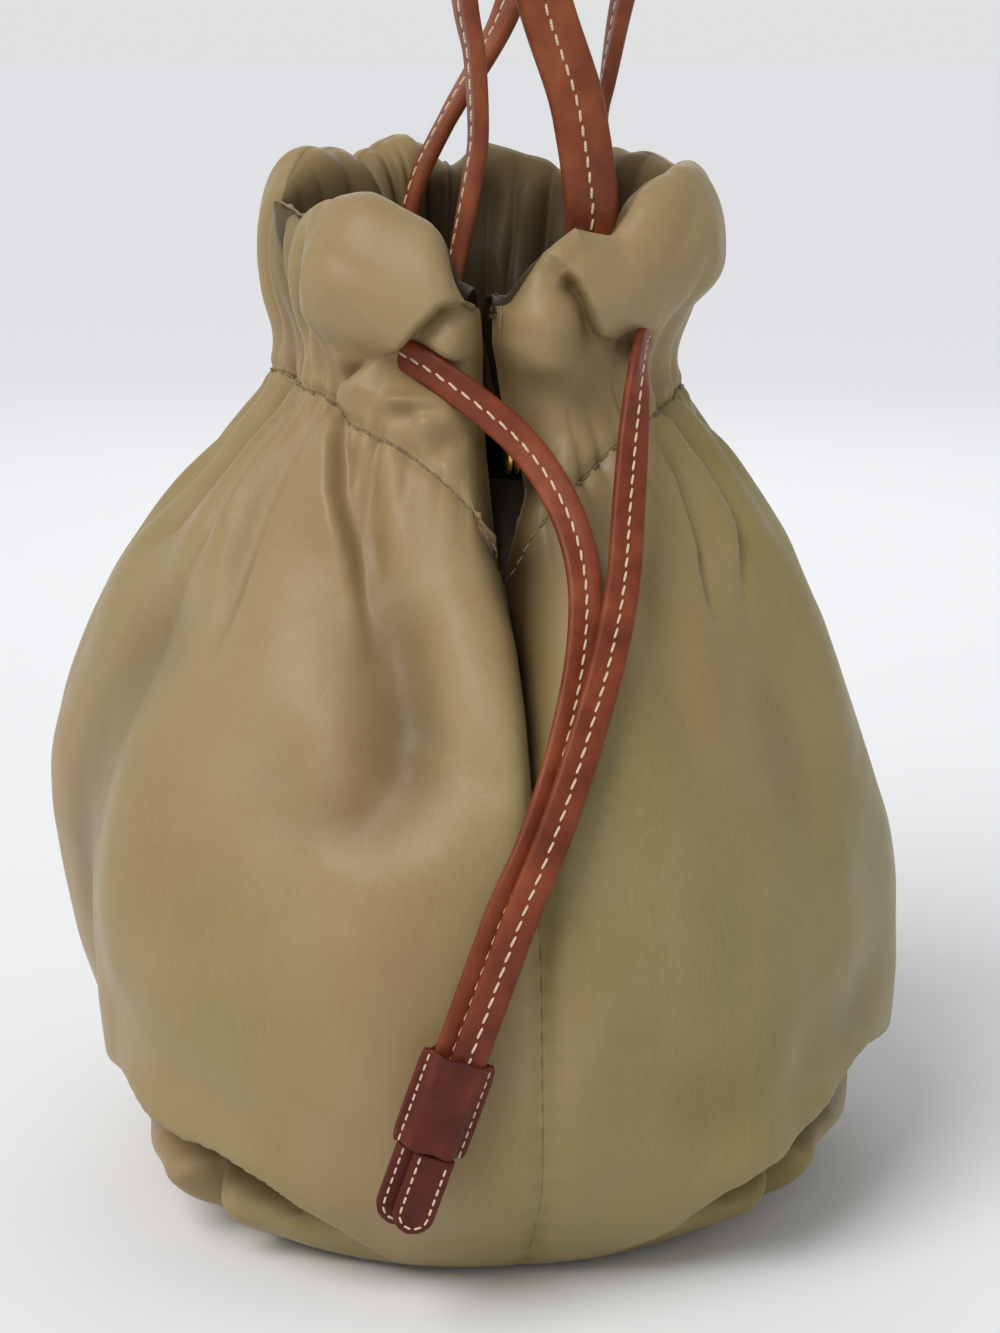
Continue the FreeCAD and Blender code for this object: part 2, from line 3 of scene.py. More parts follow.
import bpy
import numpy as np
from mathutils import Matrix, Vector


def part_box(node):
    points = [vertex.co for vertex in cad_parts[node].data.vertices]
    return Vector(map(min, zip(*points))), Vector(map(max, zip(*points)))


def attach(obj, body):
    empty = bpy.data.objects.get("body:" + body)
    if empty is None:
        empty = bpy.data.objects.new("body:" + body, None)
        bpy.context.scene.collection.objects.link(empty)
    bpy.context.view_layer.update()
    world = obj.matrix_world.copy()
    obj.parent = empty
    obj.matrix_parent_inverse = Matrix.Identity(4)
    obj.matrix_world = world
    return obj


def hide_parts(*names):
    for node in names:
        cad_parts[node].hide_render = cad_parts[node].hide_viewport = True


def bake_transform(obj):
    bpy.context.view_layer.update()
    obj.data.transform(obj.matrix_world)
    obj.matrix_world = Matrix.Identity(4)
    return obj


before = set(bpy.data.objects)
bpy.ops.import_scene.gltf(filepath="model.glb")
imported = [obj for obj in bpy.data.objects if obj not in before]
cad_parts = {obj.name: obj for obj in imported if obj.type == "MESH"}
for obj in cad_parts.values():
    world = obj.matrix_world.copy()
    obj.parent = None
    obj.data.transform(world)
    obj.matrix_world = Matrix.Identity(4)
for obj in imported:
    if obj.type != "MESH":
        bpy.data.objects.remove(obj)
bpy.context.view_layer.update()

MM = 0.001

# ---- camera ------------

CAMERA_AZIMUTH = math.radians(-6)
CAMERA_ELEVATION = math.radians(12)
CAMERA_DISTANCE = 0.85
CAMERA_TARGET = Vector((0, 0, 0.165))
SENSOR_WIDTH = 36
LENS_LENGTH = 81.1
LENS_SHIFT = (0.0218, -0.0541)


def add_camera():
    """The camera at the photo's angle."""
    back = Vector((
        math.sin(CAMERA_AZIMUTH) * math.cos(CAMERA_ELEVATION),
        -math.cos(CAMERA_AZIMUTH) * math.cos(CAMERA_ELEVATION),
        math.sin(CAMERA_ELEVATION),
    ))
    lens = bpy.data.cameras.new("camera")
    lens.sensor_width = SENSOR_WIDTH
    lens.lens = LENS_LENGTH
    lens.shift_x, lens.shift_y = LENS_SHIFT
    camera = bpy.data.objects.new("camera", lens)
    camera.location = CAMERA_TARGET + back * CAMERA_DISTANCE
    camera.rotation_euler = back.to_track_quat("Z", "Y").to_euler()
    bpy.context.scene.collection.objects.link(camera)
    bpy.context.scene.camera = camera


add_camera()
bpy.context.scene.view_settings.view_transform = "Standard"

# ---- materials ------------


class Nodes:
    """A short way to build a node material around one Principled shader."""

    def __init__(self, name):
        self.material = bpy.data.materials.new(name)
        self.material.use_nodes = True
        self.tree = self.material.node_tree
        self.shader = self.tree.nodes["Principled BSDF"]
        self.place = self.add("ShaderNodeTexCoord").outputs["Object"]

    def add(self, kind, inputs=(), **settings):
        node = self.tree.nodes.new(kind)
        for key, value in settings.items():
            setattr(node, key, value)
        for key, value in dict(inputs).items():
            self.put(value, node.inputs[key])
        return node

    def put(self, value, socket):
        if isinstance(value, bpy.types.NodeSocket):
            self.tree.links.new(value, socket)
        else:
            socket.default_value = value

    def noise(self, scale, detail=2.0, place=None, roughness=0.5):
        inputs = {"Vector": place or self.place, "Scale": scale, "Detail": detail, "Roughness": roughness}
        return self.add("ShaderNodeTexNoise", inputs).outputs["Fac"]

    def wave(self, scale, distortion, way):
        inputs = {"Vector": self.place, "Scale": scale, "Distortion": distortion}
        return self.add("ShaderNodeTexWave", inputs, wave_type="BANDS", bands_direction=way).outputs["Fac"]

    def ramp(self, value, *stops):
        node = self.add("ShaderNodeValToRGB", {"Fac": value})
        elements = node.color_ramp.elements
        while len(elements) < len(stops):
            elements.new(0.5)
        for element, (position, colour) in zip(elements, stops):
            element.position = position
            element.color = colour if len(colour) == 4 else (*colour, 1)
        return node.outputs["Color"]

    def mix(self, factor, first, second, blend="MIX"):
        node = self.add("ShaderNodeMix", data_type="RGBA", blend_type=blend)
        self.put(factor, node.inputs[0])
        self.put(first, node.inputs[6])
        self.put(second, node.inputs[7])
        return node.outputs[2]

    def math(self, operation, first, second=0.0):
        node = self.add("ShaderNodeMath", operation=operation)
        self.put(first, node.inputs[0])
        self.put(second, node.inputs[1])
        return node.outputs[0]

    def scaled(self, scale):
        node = self.add("ShaderNodeMapping", {"Vector": self.place, "Scale": scale})
        return node.outputs["Vector"]

    def bump(self, height, distance, strength=1.0, after=None):
        inputs = {"Height": height, "Distance": distance, "Strength": strength}
        if after is not None:
            inputs["Normal"] = after
        return self.add("ShaderNodeBump", inputs).outputs["Normal"]

    def finish(self, **sockets):
        for key, value in sockets.items():
            self.put(value, self.shader.inputs[key.replace("_", " ")])
        return self.material


def grey(value):
    return (value, value, value)


def nylon_material(name, brown, olive, pale, painted_shade_heights=None, shine=0.30, sheen=0.14):
    """Satin-faced woven nylon: two thread colours, khaki brown and olive, laid in broad fixed patches that
    also stand for a painted green sheen.
    """
    n = Nodes(name)
    broad = n.noise(7.5, 1.5, n.scaled((1.0, 1.0, 0.75)))
    # Brown and olive patches: partly the two thread colours, partly the satin's green sheen painted into the
    # colour.
    thread_tone_and_painted_sheen = n.ramp(broad, (0.40, brown), (0.60, olive))
    drift = n.noise(22.0, 2.0)
    colour = n.mix(n.ramp(drift, (0.35, grey(0.0)), (0.72, grey(0.45))), thread_tone_and_painted_sheen, (*pale, 1))
    slubs = n.noise(900.0, 1.0, n.scaled((1.0, 1.0, 0.12)))
    colour = n.mix(n.ramp(slubs, (0.3, grey(0.0)), (0.75, grey(0.22))), colour, (*pale, 1))
    # Painted shade in the folds: the cloth's colour darkens where the folds push it in.
    painted_fold_shade = n.add("ShaderNodeAttribute", attribute_name="painted_fold_shade").outputs["Fac"]
    shade = n.ramp(painted_fold_shade, (0.0, grey(1.05)), (0.25, (0.80, 0.77, 0.72)), (1.0, (0.20, 0.16, 0.11)))
    colour = n.mix(1.0, colour, shade, "MULTIPLY")
    if painted_shade_heights:
        # Painted shade inside the bag, with a little of the cloth's duller reverse face: the facing darkens
        # the lower it hangs below the rim.
        height = n.add("ShaderNodeSeparateXYZ", {"Vector": n.place}).outputs["Z"]
        low, high = painted_shade_heights
        level = n.math("DIVIDE", n.math("SUBTRACT", height, low), high - low)
        fade = n.ramp(level, (0.0, grey(0.16)), (0.6, grey(0.40)), (1.0, grey(1.0)))
        colour = n.mix(1.0, colour, fade, "MULTIPLY")
    threads = n.math("MULTIPLY", n.wave(560.0, 1.2, "Z"), n.wave(560.0, 1.2, "DIAGONAL"))
    weave = n.bump(threads, 0.00005, 0.5)
    crinkle = n.bump(n.noise(95.0, 3.0), 0.0006, 0.32, weave)
    crinkle = n.bump(n.noise(34.0, 2.0, n.scaled((1.0, 1.0, 0.6))), 0.0022, 0.35, crinkle)
    softness = n.ramp(n.noise(60.0, 3.0), (0.3, grey(0.40)), (0.7, grey(0.52)))
    return n.finish(
        Base_Color=colour,
        Roughness=softness,
        Normal=crinkle,
        Sheen_Weight=sheen,
        Sheen_Roughness=0.35,
        Sheen_Tint=(0.80, 0.78, 0.50, 1),
        Specular_IOR_Level=shine,
    )


def leather_material(name, deep, mid, worn, roughness=0.47, grain=900.0):
    """Smooth vegetable-tanned leather: mottled dye, fine pores and a waxy surface."""
    n = Nodes(name)
    mottle = n.noise(70.0, 4.0, roughness=0.6)
    colour = n.ramp(mottle, (0.28, deep), (0.52, mid), (0.78, worn))
    streak = n.noise(260.0, 2.0, n.scaled((1.0, 1.0, 0.2)))
    colour = n.mix(n.ramp(streak, (0.45, grey(0.0)), (0.8, grey(0.35))), colour, (*deep, 1))
    pores = n.add("ShaderNodeTexVoronoi", {"Vector": n.place, "Scale": grain}).outputs["Distance"]
    skin = n.bump(pores, 0.00012, 0.35)
    skin = n.bump(n.noise(300.0, 4.0), 0.0003, 0.25, skin)
    gloss = n.ramp(n.noise(120.0, 3.0), (0.3, grey(roughness - 0.07)), (0.7, grey(roughness + 0.10)))
    return n.finish(
        Base_Color=colour,
        Roughness=gloss,
        Normal=skin,
        Specular_IOR_Level=0.24,
        Coat_Weight=0.04,
        Coat_Roughness=0.3,
    )


def thread_material(name, light, painted_groove_shade):
    """Twisted waxed thread, with painted shade in the grooves of its twist."""
    n = Nodes(name)
    twist = n.wave(900.0, 2.0, "DIAGONAL")
    # Painted shade: the colour darkens in the grooves of the twist.
    colour = n.ramp(twist, (0.15, painted_groove_shade), (0.75, light))
    return n.finish(Base_Color=colour, Roughness=0.62, Normal=n.bump(twist, 0.0001, 0.6))


def brass_material():
    """Gold-plated brass with soft scratches."""
    n = Nodes("gold_brass")
    wear = n.noise(420.0, 3.0)
    colour = n.ramp(wear, (0.3, (0.80, 0.52, 0.14)), (0.7, (0.95, 0.70, 0.27)))
    gloss = n.ramp(n.noise(800.0, 2.0), (0.3, grey(0.16)), (0.7, grey(0.30)))
    return n.finish(Base_Color=colour, Metallic=1.0, Roughness=gloss, Normal=n.bump(wear, 0.00005, 0.2))


def floor_material():
    """Plain pale matt paper."""
    n = Nodes("pale_floor")
    return n.finish(Base_Color=(0.84, 0.84, 0.845, 1), Roughness=0.9, Specular_IOR_Level=0.1)


BROWN = (0.268, 0.180, 0.078)
OLIVE = (0.208, 0.166, 0.047)
PALE = (0.320, 0.245, 0.130)
FACING_SHADE = (0.255, 0.289)
NYLON = nylon_material("khaki_nylon", BROWN, OLIVE, PALE)
# The facing's colour carries painted shade inside the bag.
FACING = nylon_material("facing_nylon", BROWN, OLIVE, PALE, FACING_SHADE, shine=0.12, sheen=0.05)
# Painted shade: the lining is coloured near black to stand for the deep shade inside the bag.
PAINTED_SHADE_LINING = nylon_material(
    "lining_cloth", (0.024, 0.018, 0.010), (0.021, 0.017, 0.008), (0.031, 0.024, 0.014),
    shine=0.06, sheen=0.0,
)
HANDLE_LEATHER = leather_material(
    "cognac_leather", (0.125, 0.026, 0.008), (0.215, 0.052, 0.015), (0.30, 0.090, 0.030),
)
STRAP_LEATHER = leather_material(
    "strap_leather", (0.105, 0.018, 0.006), (0.178, 0.034, 0.011), (0.26, 0.062, 0.020),
)
DARK_LEATHER = leather_material(
    "dark_leather", (0.052, 0.007, 0.003), (0.100, 0.014, 0.006), (0.150, 0.026, 0.012),
)
CREAM_THREAD = thread_material("cream_thread", (0.80, 0.62, 0.42), (0.50, 0.33, 0.20))
KHAKI_THREAD = thread_material("khaki_thread", (0.26, 0.20, 0.11), (0.13, 0.10, 0.055))
GOLD = brass_material()

# ---- mesh helpers ------------


def mesh_object(name, points, faces, material):
    """A mesh object from points in millimetres."""
    mesh = bpy.data.meshes.new(name)
    mesh.from_pydata((np.asarray(points, float) * MM).tolist(), [], faces)
    mesh.materials.append(material)
    mesh.shade_smooth()
    mesh.update()
    piece = bpy.data.objects.new(name, mesh)
    bpy.context.scene.collection.objects.link(piece)
    return piece


def grid_faces(rows, columns, close=False):
    """Quads of a grid whose points are stored row by row; close joins the last column to the first."""
    across = columns if close else columns - 1
    row, column = np.meshgrid(np.arange(rows - 1), np.arange(across), indexing="ij")
    ahead = (column + 1) % columns
    corners = [
        row * columns + column,
        row * columns + ahead,
        (row + 1) * columns + ahead,
        (row + 1) * columns + column,
    ]
    return np.stack([corner.ravel() for corner in corners], axis=1).tolist()


def disc_faces(rings, columns):
    """Faces of a disc of closed rings, whose last ring is filled."""
    faces = grid_faces(rings, columns, close=True)
    faces.append([(rings - 1) * columns + column for column in range(columns)])
    return faces


def tube_faces(rings, columns):
    """Faces of a tube with both ends filled."""
    return disc_faces(rings, columns) + [list(range(columns))[::-1]]


def slab_faces(rows, columns):
    """Faces of a closed slab: a grid, the same grid on the other side, and the walls between their edges."""
    count = rows * columns
    upper = grid_faces(rows, columns)
    lower = [[index + count for index in face][::-1] for face in upper]
    edge = [row * columns for row in range(rows)]
    edge += [(rows - 1) * columns + column for column in range(1, columns)]
    edge += [row * columns + columns - 1 for row in range(rows - 2, -1, -1)]
    edge += range(columns - 2, 0, -1)
    walls = [[a, b, b + count, a + count] for a, b in zip(edge, edge[1:] + edge[:1])]
    return upper + lower + walls


def circle(count):
    """Evenly spaced angles round a full turn."""
    return np.linspace(0, 2 * math.pi, count + 1)[:-1]


def unit(vectors):
    return vectors / np.maximum(np.linalg.norm(vectors, axis=-1, keepdims=True), 1e-9)


def smooth_step(value, low, high):
    """Zero below low, one above high and smooth between them."""
    share = np.clip((value - low) / (high - low), 0, 1)
    return share * share * (3 - 2 * share)


def use(piece, body, slot, *replaced):
    """Attach a piece to its body and hide the CAD nodes that it stands for; the slot is not used."""
    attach(piece, body)
    if replaced:
        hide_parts(*replaced)
    return piece


# ---- straps ------------

# Stitches: pitch, length, thread radius and slant.
HANDLE_STITCH = (4.1, 3.1, 0.42, 0.18)
STRAP_STITCH = (4.1, 3.1, 0.36, 0.18)
CHANNEL_STITCH = (4.1, 3.1, 0.30, 0.18)
SMALL_STITCH = (2.7, 1.9, 0.30, 0.0)
TOWARD_VIEWER = np.array([0.0, -1.0, 0.0])


def spline(points, step=2.0):
    """Points about one step apart on a smooth curve through the given points, and their shares."""
    points = np.asarray(points, float)
    padded = np.vstack([2 * points[0] - points[1], points, 2 * points[-1] - points[-2]])
    places = []
    shares = []
    for number in range(len(points) - 1):
        p0, p1, p2, p3 = padded[number:number + 4]
        count = max(2, int(np.linalg.norm(p2 - p1) / step))
        for share in np.arange(count) / count:
            s2, s3 = share * share, share ** 3
            places.append(
                0.5 * (2 * p1 + (p2 - p0) * share + (2 * p0 - 5 * p1 + 4 * p2 - p3) * s2
                       + (3 * p1 - p0 - 3 * p2 + p3) * s3)
            )
            shares.append(number + share)
    places.append(points[-1])
    shares.append(len(points) - 1)
    return np.array(places), np.array(shares)


def nurbs_line(points):
    """The smooth line of an order-3 NURBS spline with these control points, in millimetres."""
    curve = bpy.data.curves.new("route", "CURVE")
    curve.dimensions = "3D"
    curve.resolution_u = 12
    line = curve.splines.new("NURBS")
    line.points.add(len(points) - 1)
    for control, point in zip(line.points, points):
        control.co = (*(np.asarray(point, float) * MM), 1)
    line.order_u = 3
    line.use_endpoint_u = True
    holder = bpy.data.objects.new("route", curve)
    bpy.context.scene.collection.objects.link(holder)
    mesh = bpy.data.meshes.new_from_object(holder)
    places = np.array([vertex.co for vertex in mesh.vertices]) / MM
    bpy.data.objects.remove(holder)
    bpy.data.meshes.remove(mesh)
    return places


def directions(places):
    return unit(np.gradient(places, axis=0))


def strap_frames(places, outward):
    """Along, across and outward unit vectors at each place, from rough outward vectors."""
    along = directions(places)
    across = unit(np.cross(along, outward))
    return along, across, np.cross(across, along)


def strap_profile(width, thickness, groove, edge):
    """The closed section of a folded strap: rounded edges and a shallow groove under the stitches."""
    half = width / 2
    flat = np.linspace(-(half - edge), half - edge, 11)
    dip = groove * np.exp(-(flat / 1.1) ** 2)
    swell = 0.12 * np.exp(-((np.abs(flat) - half * 0.55) / 2) ** 2)
    top = thickness / 2 - dip + swell
    turn = np.linspace(0, math.pi, 7)[1:-1]
    side = np.stack([half - edge + edge * np.sin(turn), thickness / 2 * np.cos(turn)], axis=1)
    upper = np.stack([flat, top], axis=1)
    return np.vstack([upper, side, -upper, -side])


def ribbon(name, places, frames, profile, material):
    """A strap: a closed section carried along the places."""
    _, across, outward = frames
    sideways = across[:, None] * profile[None, :, :1]
    points = places[:, None] + sideways + outward[:, None] * profile[None, :, 1:]
    return mesh_object(name, points.reshape(-1, 3), tube_faces(*points.shape[:2]), material)


def capsule_mesh(name, starts, ends, radius, material):
    """Many small rounded rods, each from a start to an end."""
    ring = circle(6)
    levels = [(0.0, 0.15), (0.06, 0.75), (0.22, 1.0), (0.78, 1.0), (0.94, 0.75), (1.0, 0.15)]
    rod = tube_faces(len(levels), len(ring))
    points = []
    faces = []
    for start, end in zip(np.asarray(starts), np.asarray(ends)):
        along = unit(end - start)
        side = unit(np.cross(along, (0.31, 0.52, 0.79)))
        other = np.cross(along, side)
        base = len(points)
        for share, size in levels:
            centre = start + (end - start) * share
            points.extend(centre + radius * size * (math.cos(a) * side + math.sin(a) * other) for a in ring)
        faces.extend([base + index for index in face] for face in rod)
    return mesh_object(name, points, faces, material)


def along_line(places, pitch, first, last):
    """Evenly spaced indices, as real numbers, along a line of places."""
    steps = np.linalg.norm(np.diff(places, axis=0), axis=1)
    reach = np.concatenate([[0], np.cumsum(steps)])
    wanted = np.arange(first, reach[-1] - last, pitch)
    return np.interp(wanted, reach, np.arange(len(places)))


def at(values, index):
    """Values at real-number indices."""
    low = np.clip(np.floor(index).astype(int), 0, len(values) - 2)
    share = (index - low)[:, None]
    return values[low] * (1 - share) + values[low + 1] * share


def stitch_row(name, places, frames, lift, style, margins=(2, 2), material=CREAM_THREAD, faces=(1, -1)):
    """A row of stitches on one or both faces of a strap, between margins from its two ends."""
    pitch, length, radius, slant = style
    along, across, outward = frames
    index = along_line(places, pitch, *margins)
    centre = at(places, index)
    run = unit(at(along, index)) * length / 2
    side = unit(at(across, index)) * slant
    up = unit(at(outward, index)) * lift
    starts = [centre + (up - side) * face - run for face in faces]
    ends = [centre + (up + side) * face + run for face in faces]
    return capsule_mesh(name, np.vstack(starts), np.vstack(ends), radius, material)


def headings(shares, turns):
    """Horizontal unit vectors from headings in degrees, given at whole shares."""
    turn = np.radians(np.interp(shares, np.arange(len(turns)), turns))
    return np.stack([np.cos(turn), np.sin(turn), np.zeros_like(turn)], axis=1)


# ---- drawstring ------------

TOGGLE_CENTRE = np.array([-20.5, -131.25, 65.0])
TILT = math.radians(19.4)
ALONG = np.array([math.sin(TILT), 0, math.cos(TILT)])
ACROSS = np.array([math.cos(TILT), 0, -math.sin(TILT)])
STRAP_WIDTH = 9.0
STRAP_THICKNESS = 2.5
STRAP_STEP = 1.35
STRAP_SHIFT = 2.0
STRAIGHT_TOP = 52
STRAP_END = 13.3
STRAIGHT_PLACES = (STRAIGHT_TOP, STRAIGHT_TOP - 14, -STRAP_END)
STRAP_PROFILE = strap_profile(STRAP_WIDTH, STRAP_THICKNESS, groove=0.2, edge=0.8)


def on_line(side, distance):
    """A point on a tail's straight stretch through the toggle."""
    sign = 1 if side == "right" else -1
    return TOGGLE_CENTRE + ACROSS * sign * STRAP_SHIFT + ALONG * distance + (0, -sign * STRAP_STEP, 0)


# Route points of each tail and the heading of its outer face there, from the channel to the straight
# stretch, and the places on that stretch, down to the tab.
TAIL_ROUTES = {
    "left": [
        ((-40, -30.5, 243), -147), ((-29.5, -46.6, 243.5), -130), ((-19.5, -60.5, 239.5), -112),
        ((-6, -66.5, 230), -98), ((7, -71, 219), -90), ((16.5, -78.5, 204), -84), ((20, -90, 188), -84),
        ((18, -101.5, 172), -86), ((13.5, -112, 157), -88), ((8, -120.5, 142), -90), ((2, -126.5, 128), -90),
    ],
    "right": [
        ((50, -20.9, 243), -22), ((42, -41, 244.5), -28), ((38.5, -55.5, 238.5), -45), ((36, -64, 224), -72),
        ((32.5, -78, 205), -84), ((29, -94, 187), -86), ((23.5, -107.5, 171), -88), ((17, -118, 155.5), -90),
        ((10.5, -126, 140), -90), ((4.5, -130.8, 126.5), -90),
    ],
}


def tail(side, tab):
    """One free tail of the drawstring, which ends at its tab."""
    route = TAIL_ROUTES[side] + [(on_line(side, place), -90) for place in STRAIGHT_PLACES]
    places = nurbs_line([point for point, _ in route])
    shares = np.linspace(0, len(route) - 1, len(places))
    outward = headings(shares, [turn for _, turn in route])
    frames = strap_frames(places, outward)
    strap = ribbon(f"drawstring_{side}_tail_strap", places, frames, STRAP_PROFILE, STRAP_LEATHER)
    use(strap, "root", "drawstring_leather", f"drawstring_{side}_tail")
    lift = STRAP_THICKNESS / 2 - 0.1
    stitches = stitch_row(f"drawstring_{side}_tail_stitches", places, frames, lift, STRAP_STITCH)
    use(stitches, "root", "drawstring_leather")


TAB_WIDTH = 10.5
TAB_LENGTH = 21.0
TAB_THICKNESS = 3.2
TAB_EDGE = 0.62
TAB_MARGIN = 1.7
SMALL_MARGINS = (0.8, 0.4)


def tab_points(top):
    """The two faces of a tab, row by row: plump in the middle and pressed thinner at the edge."""
    rows = np.concatenate([np.linspace(0, 1, 26)[:-1], 1 - 0.5 ** np.arange(5, 9) / 16, [1]])
    columns = np.sin(np.linspace(-math.pi / 2, math.pi / 2, 19))
    half = TAB_WIDTH / 2
    points = []
    for face in (1, -1):
        for row in rows:
            down = row * TAB_LENGTH
            over = max(0.0, down - (TAB_LENGTH - half))
            wide = math.sqrt(max(half ** 2 - over ** 2, 0.01))
            for column in columns:
                edge = min(1 - abs(column), (TAB_LENGTH - down) / half) * wide
                fullness = TAB_EDGE + (1 - TAB_EDGE) * (1 - math.exp(-max(edge, 0) / 0.7))
                depth = (0, -face * TAB_THICKNESS / 2 * fullness, 0)
                points.append(top + ACROSS * column * wide - ALONG * down + depth)
    return points, len(rows), len(columns)


def tab_outline(top):
    """The line of the stitches down one side of a tab, round its end and up the other side."""
    inset = TAB_WIDTH / 2 - TAB_MARGIN
    straight = TAB_LENGTH - TAB_WIDTH / 2
    centre = top - ALONG * straight
    turn = np.linspace(math.pi, 0, 12)
    outline = [top - ACROSS * inset - ALONG * down for down in np.arange(1.0, straight, 1.0)]
    outline += [centre + ACROSS * inset * math.cos(a) - ALONG * inset * math.sin(a) for a in turn]
    outline += [top + ACROSS * inset - ALONG * down for down in np.arange(straight - 1, 0.9, -1.0)]
    return np.array(outline)


def end_tab(side):
    """A folded leather tab with a rounded end and a row of stitches round its outline."""
    sign = 1 if side == "right" else -1
    top = on_line(side, -STRAP_END)
    top[1] = TOGGLE_CENTRE[1] - sign * (TAB_THICKNESS / 2 + 0.15)
    points, rows, columns = tab_points(top)
    tab = mesh_object(f"{side}_end_tab_leather", points, slab_faces(rows, columns), DARK_LEATHER)
    use(tab, "root", "dark_leather", f"{side}_end_tab")
    outline = tab_outline(top)
    frames = strap_frames(outline, TOWARD_VIEWER)
    lift = TAB_THICKNESS / 2 - 0.02
    stitches = stitch_row(f"{side}_end_tab_stitches", outline, frames, lift, SMALL_STITCH, SMALL_MARGINS)
    use(stitches, "root", "dark_leather")
    return tab


TOGGLE_WIDTH = 19.0
TOGGLE_LENGTH = 25.0
TOGGLE_LEATHER = 1.5
TOGGLE_ROOM = 3.0
TOGGLE_MARGIN = 1.6


def toggle_layers(sign):
    """The inner and outer faces of one layer of the toggle, as grids that bow over the straps."""
    across = np.linspace(-1, 1, 41)
    along = np.linspace(-1, 1, 35)
    wide_share, tall_share = np.meshgrid(across, along)
    wide = wide_share * TOGGLE_WIDTH / 2
    tall = tall_share * TOGGLE_LENGTH / 2
    bow = TOGGLE_ROOM * (1 - smooth_step(np.abs(wide), 5.2, 8.0)) + 0.06
    bow += 0.35 * tall_share ** 4 * (1 - smooth_step(np.abs(wide), 5.5, 9.0))
    corner = wide_share ** 6 * tall_share ** 6
    wide = wide * (1 - 0.045 * corner)
    tall = tall * (1 - 0.03 * corner) + 0.25 * np.sin(wide * 0.9 + sign)
    middle = TOGGLE_CENTRE + wide[..., None] * ACROSS + tall[..., None] * ALONG
    return [middle + TOWARD_VIEWER * sign * depth[..., None] for depth in (bow, bow + TOGGLE_LEATHER)]


def toggle_half(side):
    """One layer of the toggle, sewn to the other layer at both edges."""
    sign = 1 if side == "front" else -1
    layers = toggle_layers(sign)
    points = np.vstack([layer.reshape(-1, 3) for layer in layers])
    piece = mesh_object(f"toggle_{side}_leather", points, slab_faces(*layers[0].shape[:2]), DARK_LEATHER)
    soften = piece.modifiers.new("edges", "BEVEL")
    soften.width = 0.35 * MM
    soften.segments = 2
    soften.limit_method = "ANGLE"
    use(piece, "toggle", "dark_leather", f"toggle_{side}")
    down = np.linspace(-TOGGLE_LENGTH / 2 + 0.6, TOGGLE_LENGTH / 2 - 0.6, 30)
    for number, edge in enumerate((-1, 1)):
        line = TOGGLE_CENTRE + ACROSS * edge * (TOGGLE_WIDTH / 2 - TOGGLE_MARGIN) + down[:, None] * ALONG
        frames = strap_frames(line, TOWARD_VIEWER * sign)
        name = f"toggle_{side}_stitches_{number + 1}"
        lift = TOGGLE_LEATHER + 0.12
        stitches = stitch_row(name, line, frames, lift, SMALL_STITCH, SMALL_MARGINS, faces=(1,))
        use(stitches, "toggle", "dark_leather")


for side in ("left", "right"):
    tail(side, end_tab(side))
for side in ("front", "back"):
    toggle_half(side)

# ---- handles ------------

HANDLE_WIDTH = 14.5
HANDLE_THICKNESS = 3.9

# Centre-line points of each handle and the heading of its width, from one sewn end to the other.
HANDLES = {
    "left": [
        ((-10, -37, 238), 78), ((-9, -37.5, 255), 84), ((-6, -38, 272), 90), ((-3.6, -38, 285), 91),
        ((-2.1, -38, 296), 92), ((-3, -37.5, 316), 94), ((-5.5, -36.5, 330.6), 99), ((-10, -34, 368), 112),
        ((-13, -29, 408), 130), ((-9.5, -18, 446), 142), ((5, -1, 468), 143), ((20.5, 15, 455), 143),
        ((30, 25, 424), 140), ((29, 31, 388), 131), ((21, 34.5, 352), 119), ((12.9, 36, 324), 105),
        ((-3, 37, 296), 92), ((-12, 37, 277), 92), ((-16, 35.5, 258), 92), ((-17, 33, 238), 92),
    ],
    "right": [
        ((24, -31, 238), 4), ((27, -32, 256), 2), ((28.6, -34.5, 274), 0), ((27.6, -35, 285), 0),
        ((25.9, -35, 296), 0), ((23.3, -35, 307.8), -3), ((15.7, -34, 330.5), -9), ((9, -32, 360), -20),
        ((8, -29, 400), -33), ((16, -18, 443), -42), ((35.5, 0.5, 465), -44), ((52.5, 17, 445), -47),
        ((58, 27, 404), -55), ((54, 28, 362), -68), ((45.5, 24.5, 330), -84), ((41.2, 22, 308), -95),
        ((39, 21, 296), -100), ((39, 21, 274), -100), ((37.5, 20.5, 256), -98), ((35, 19.5, 238), -95),
    ],
}


def handle(side):
    """One handle with its sewn ends."""
    places, shares = spline([point for point, _ in HANDLES[side]])
    width = headings(shares, [turn for _, turn in HANDLES[side]])
    along = directions(places)
    frames = strap_frames(places, np.cross(width, along))
    profile = strap_profile(HANDLE_WIDTH, HANDLE_THICKNESS, groove=0.35, edge=1.3)
    strap = ribbon(f"{side}_handle_strap", places, frames, profile, HANDLE_LEATHER)
    lift = HANDLE_THICKNESS / 2 - 0.22
    stitches = stitch_row(f"{side}_handle_stitches", places, frames, lift, HANDLE_STITCH)
    for piece in (strap, stitches):
        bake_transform(piece)
    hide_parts(f"{side}_handle", f"{side}_handle_near_anchor", f"{side}_handle_far_anchor")


for side in ("left", "right"):
    handle(side)

# ---- fabric form ------------

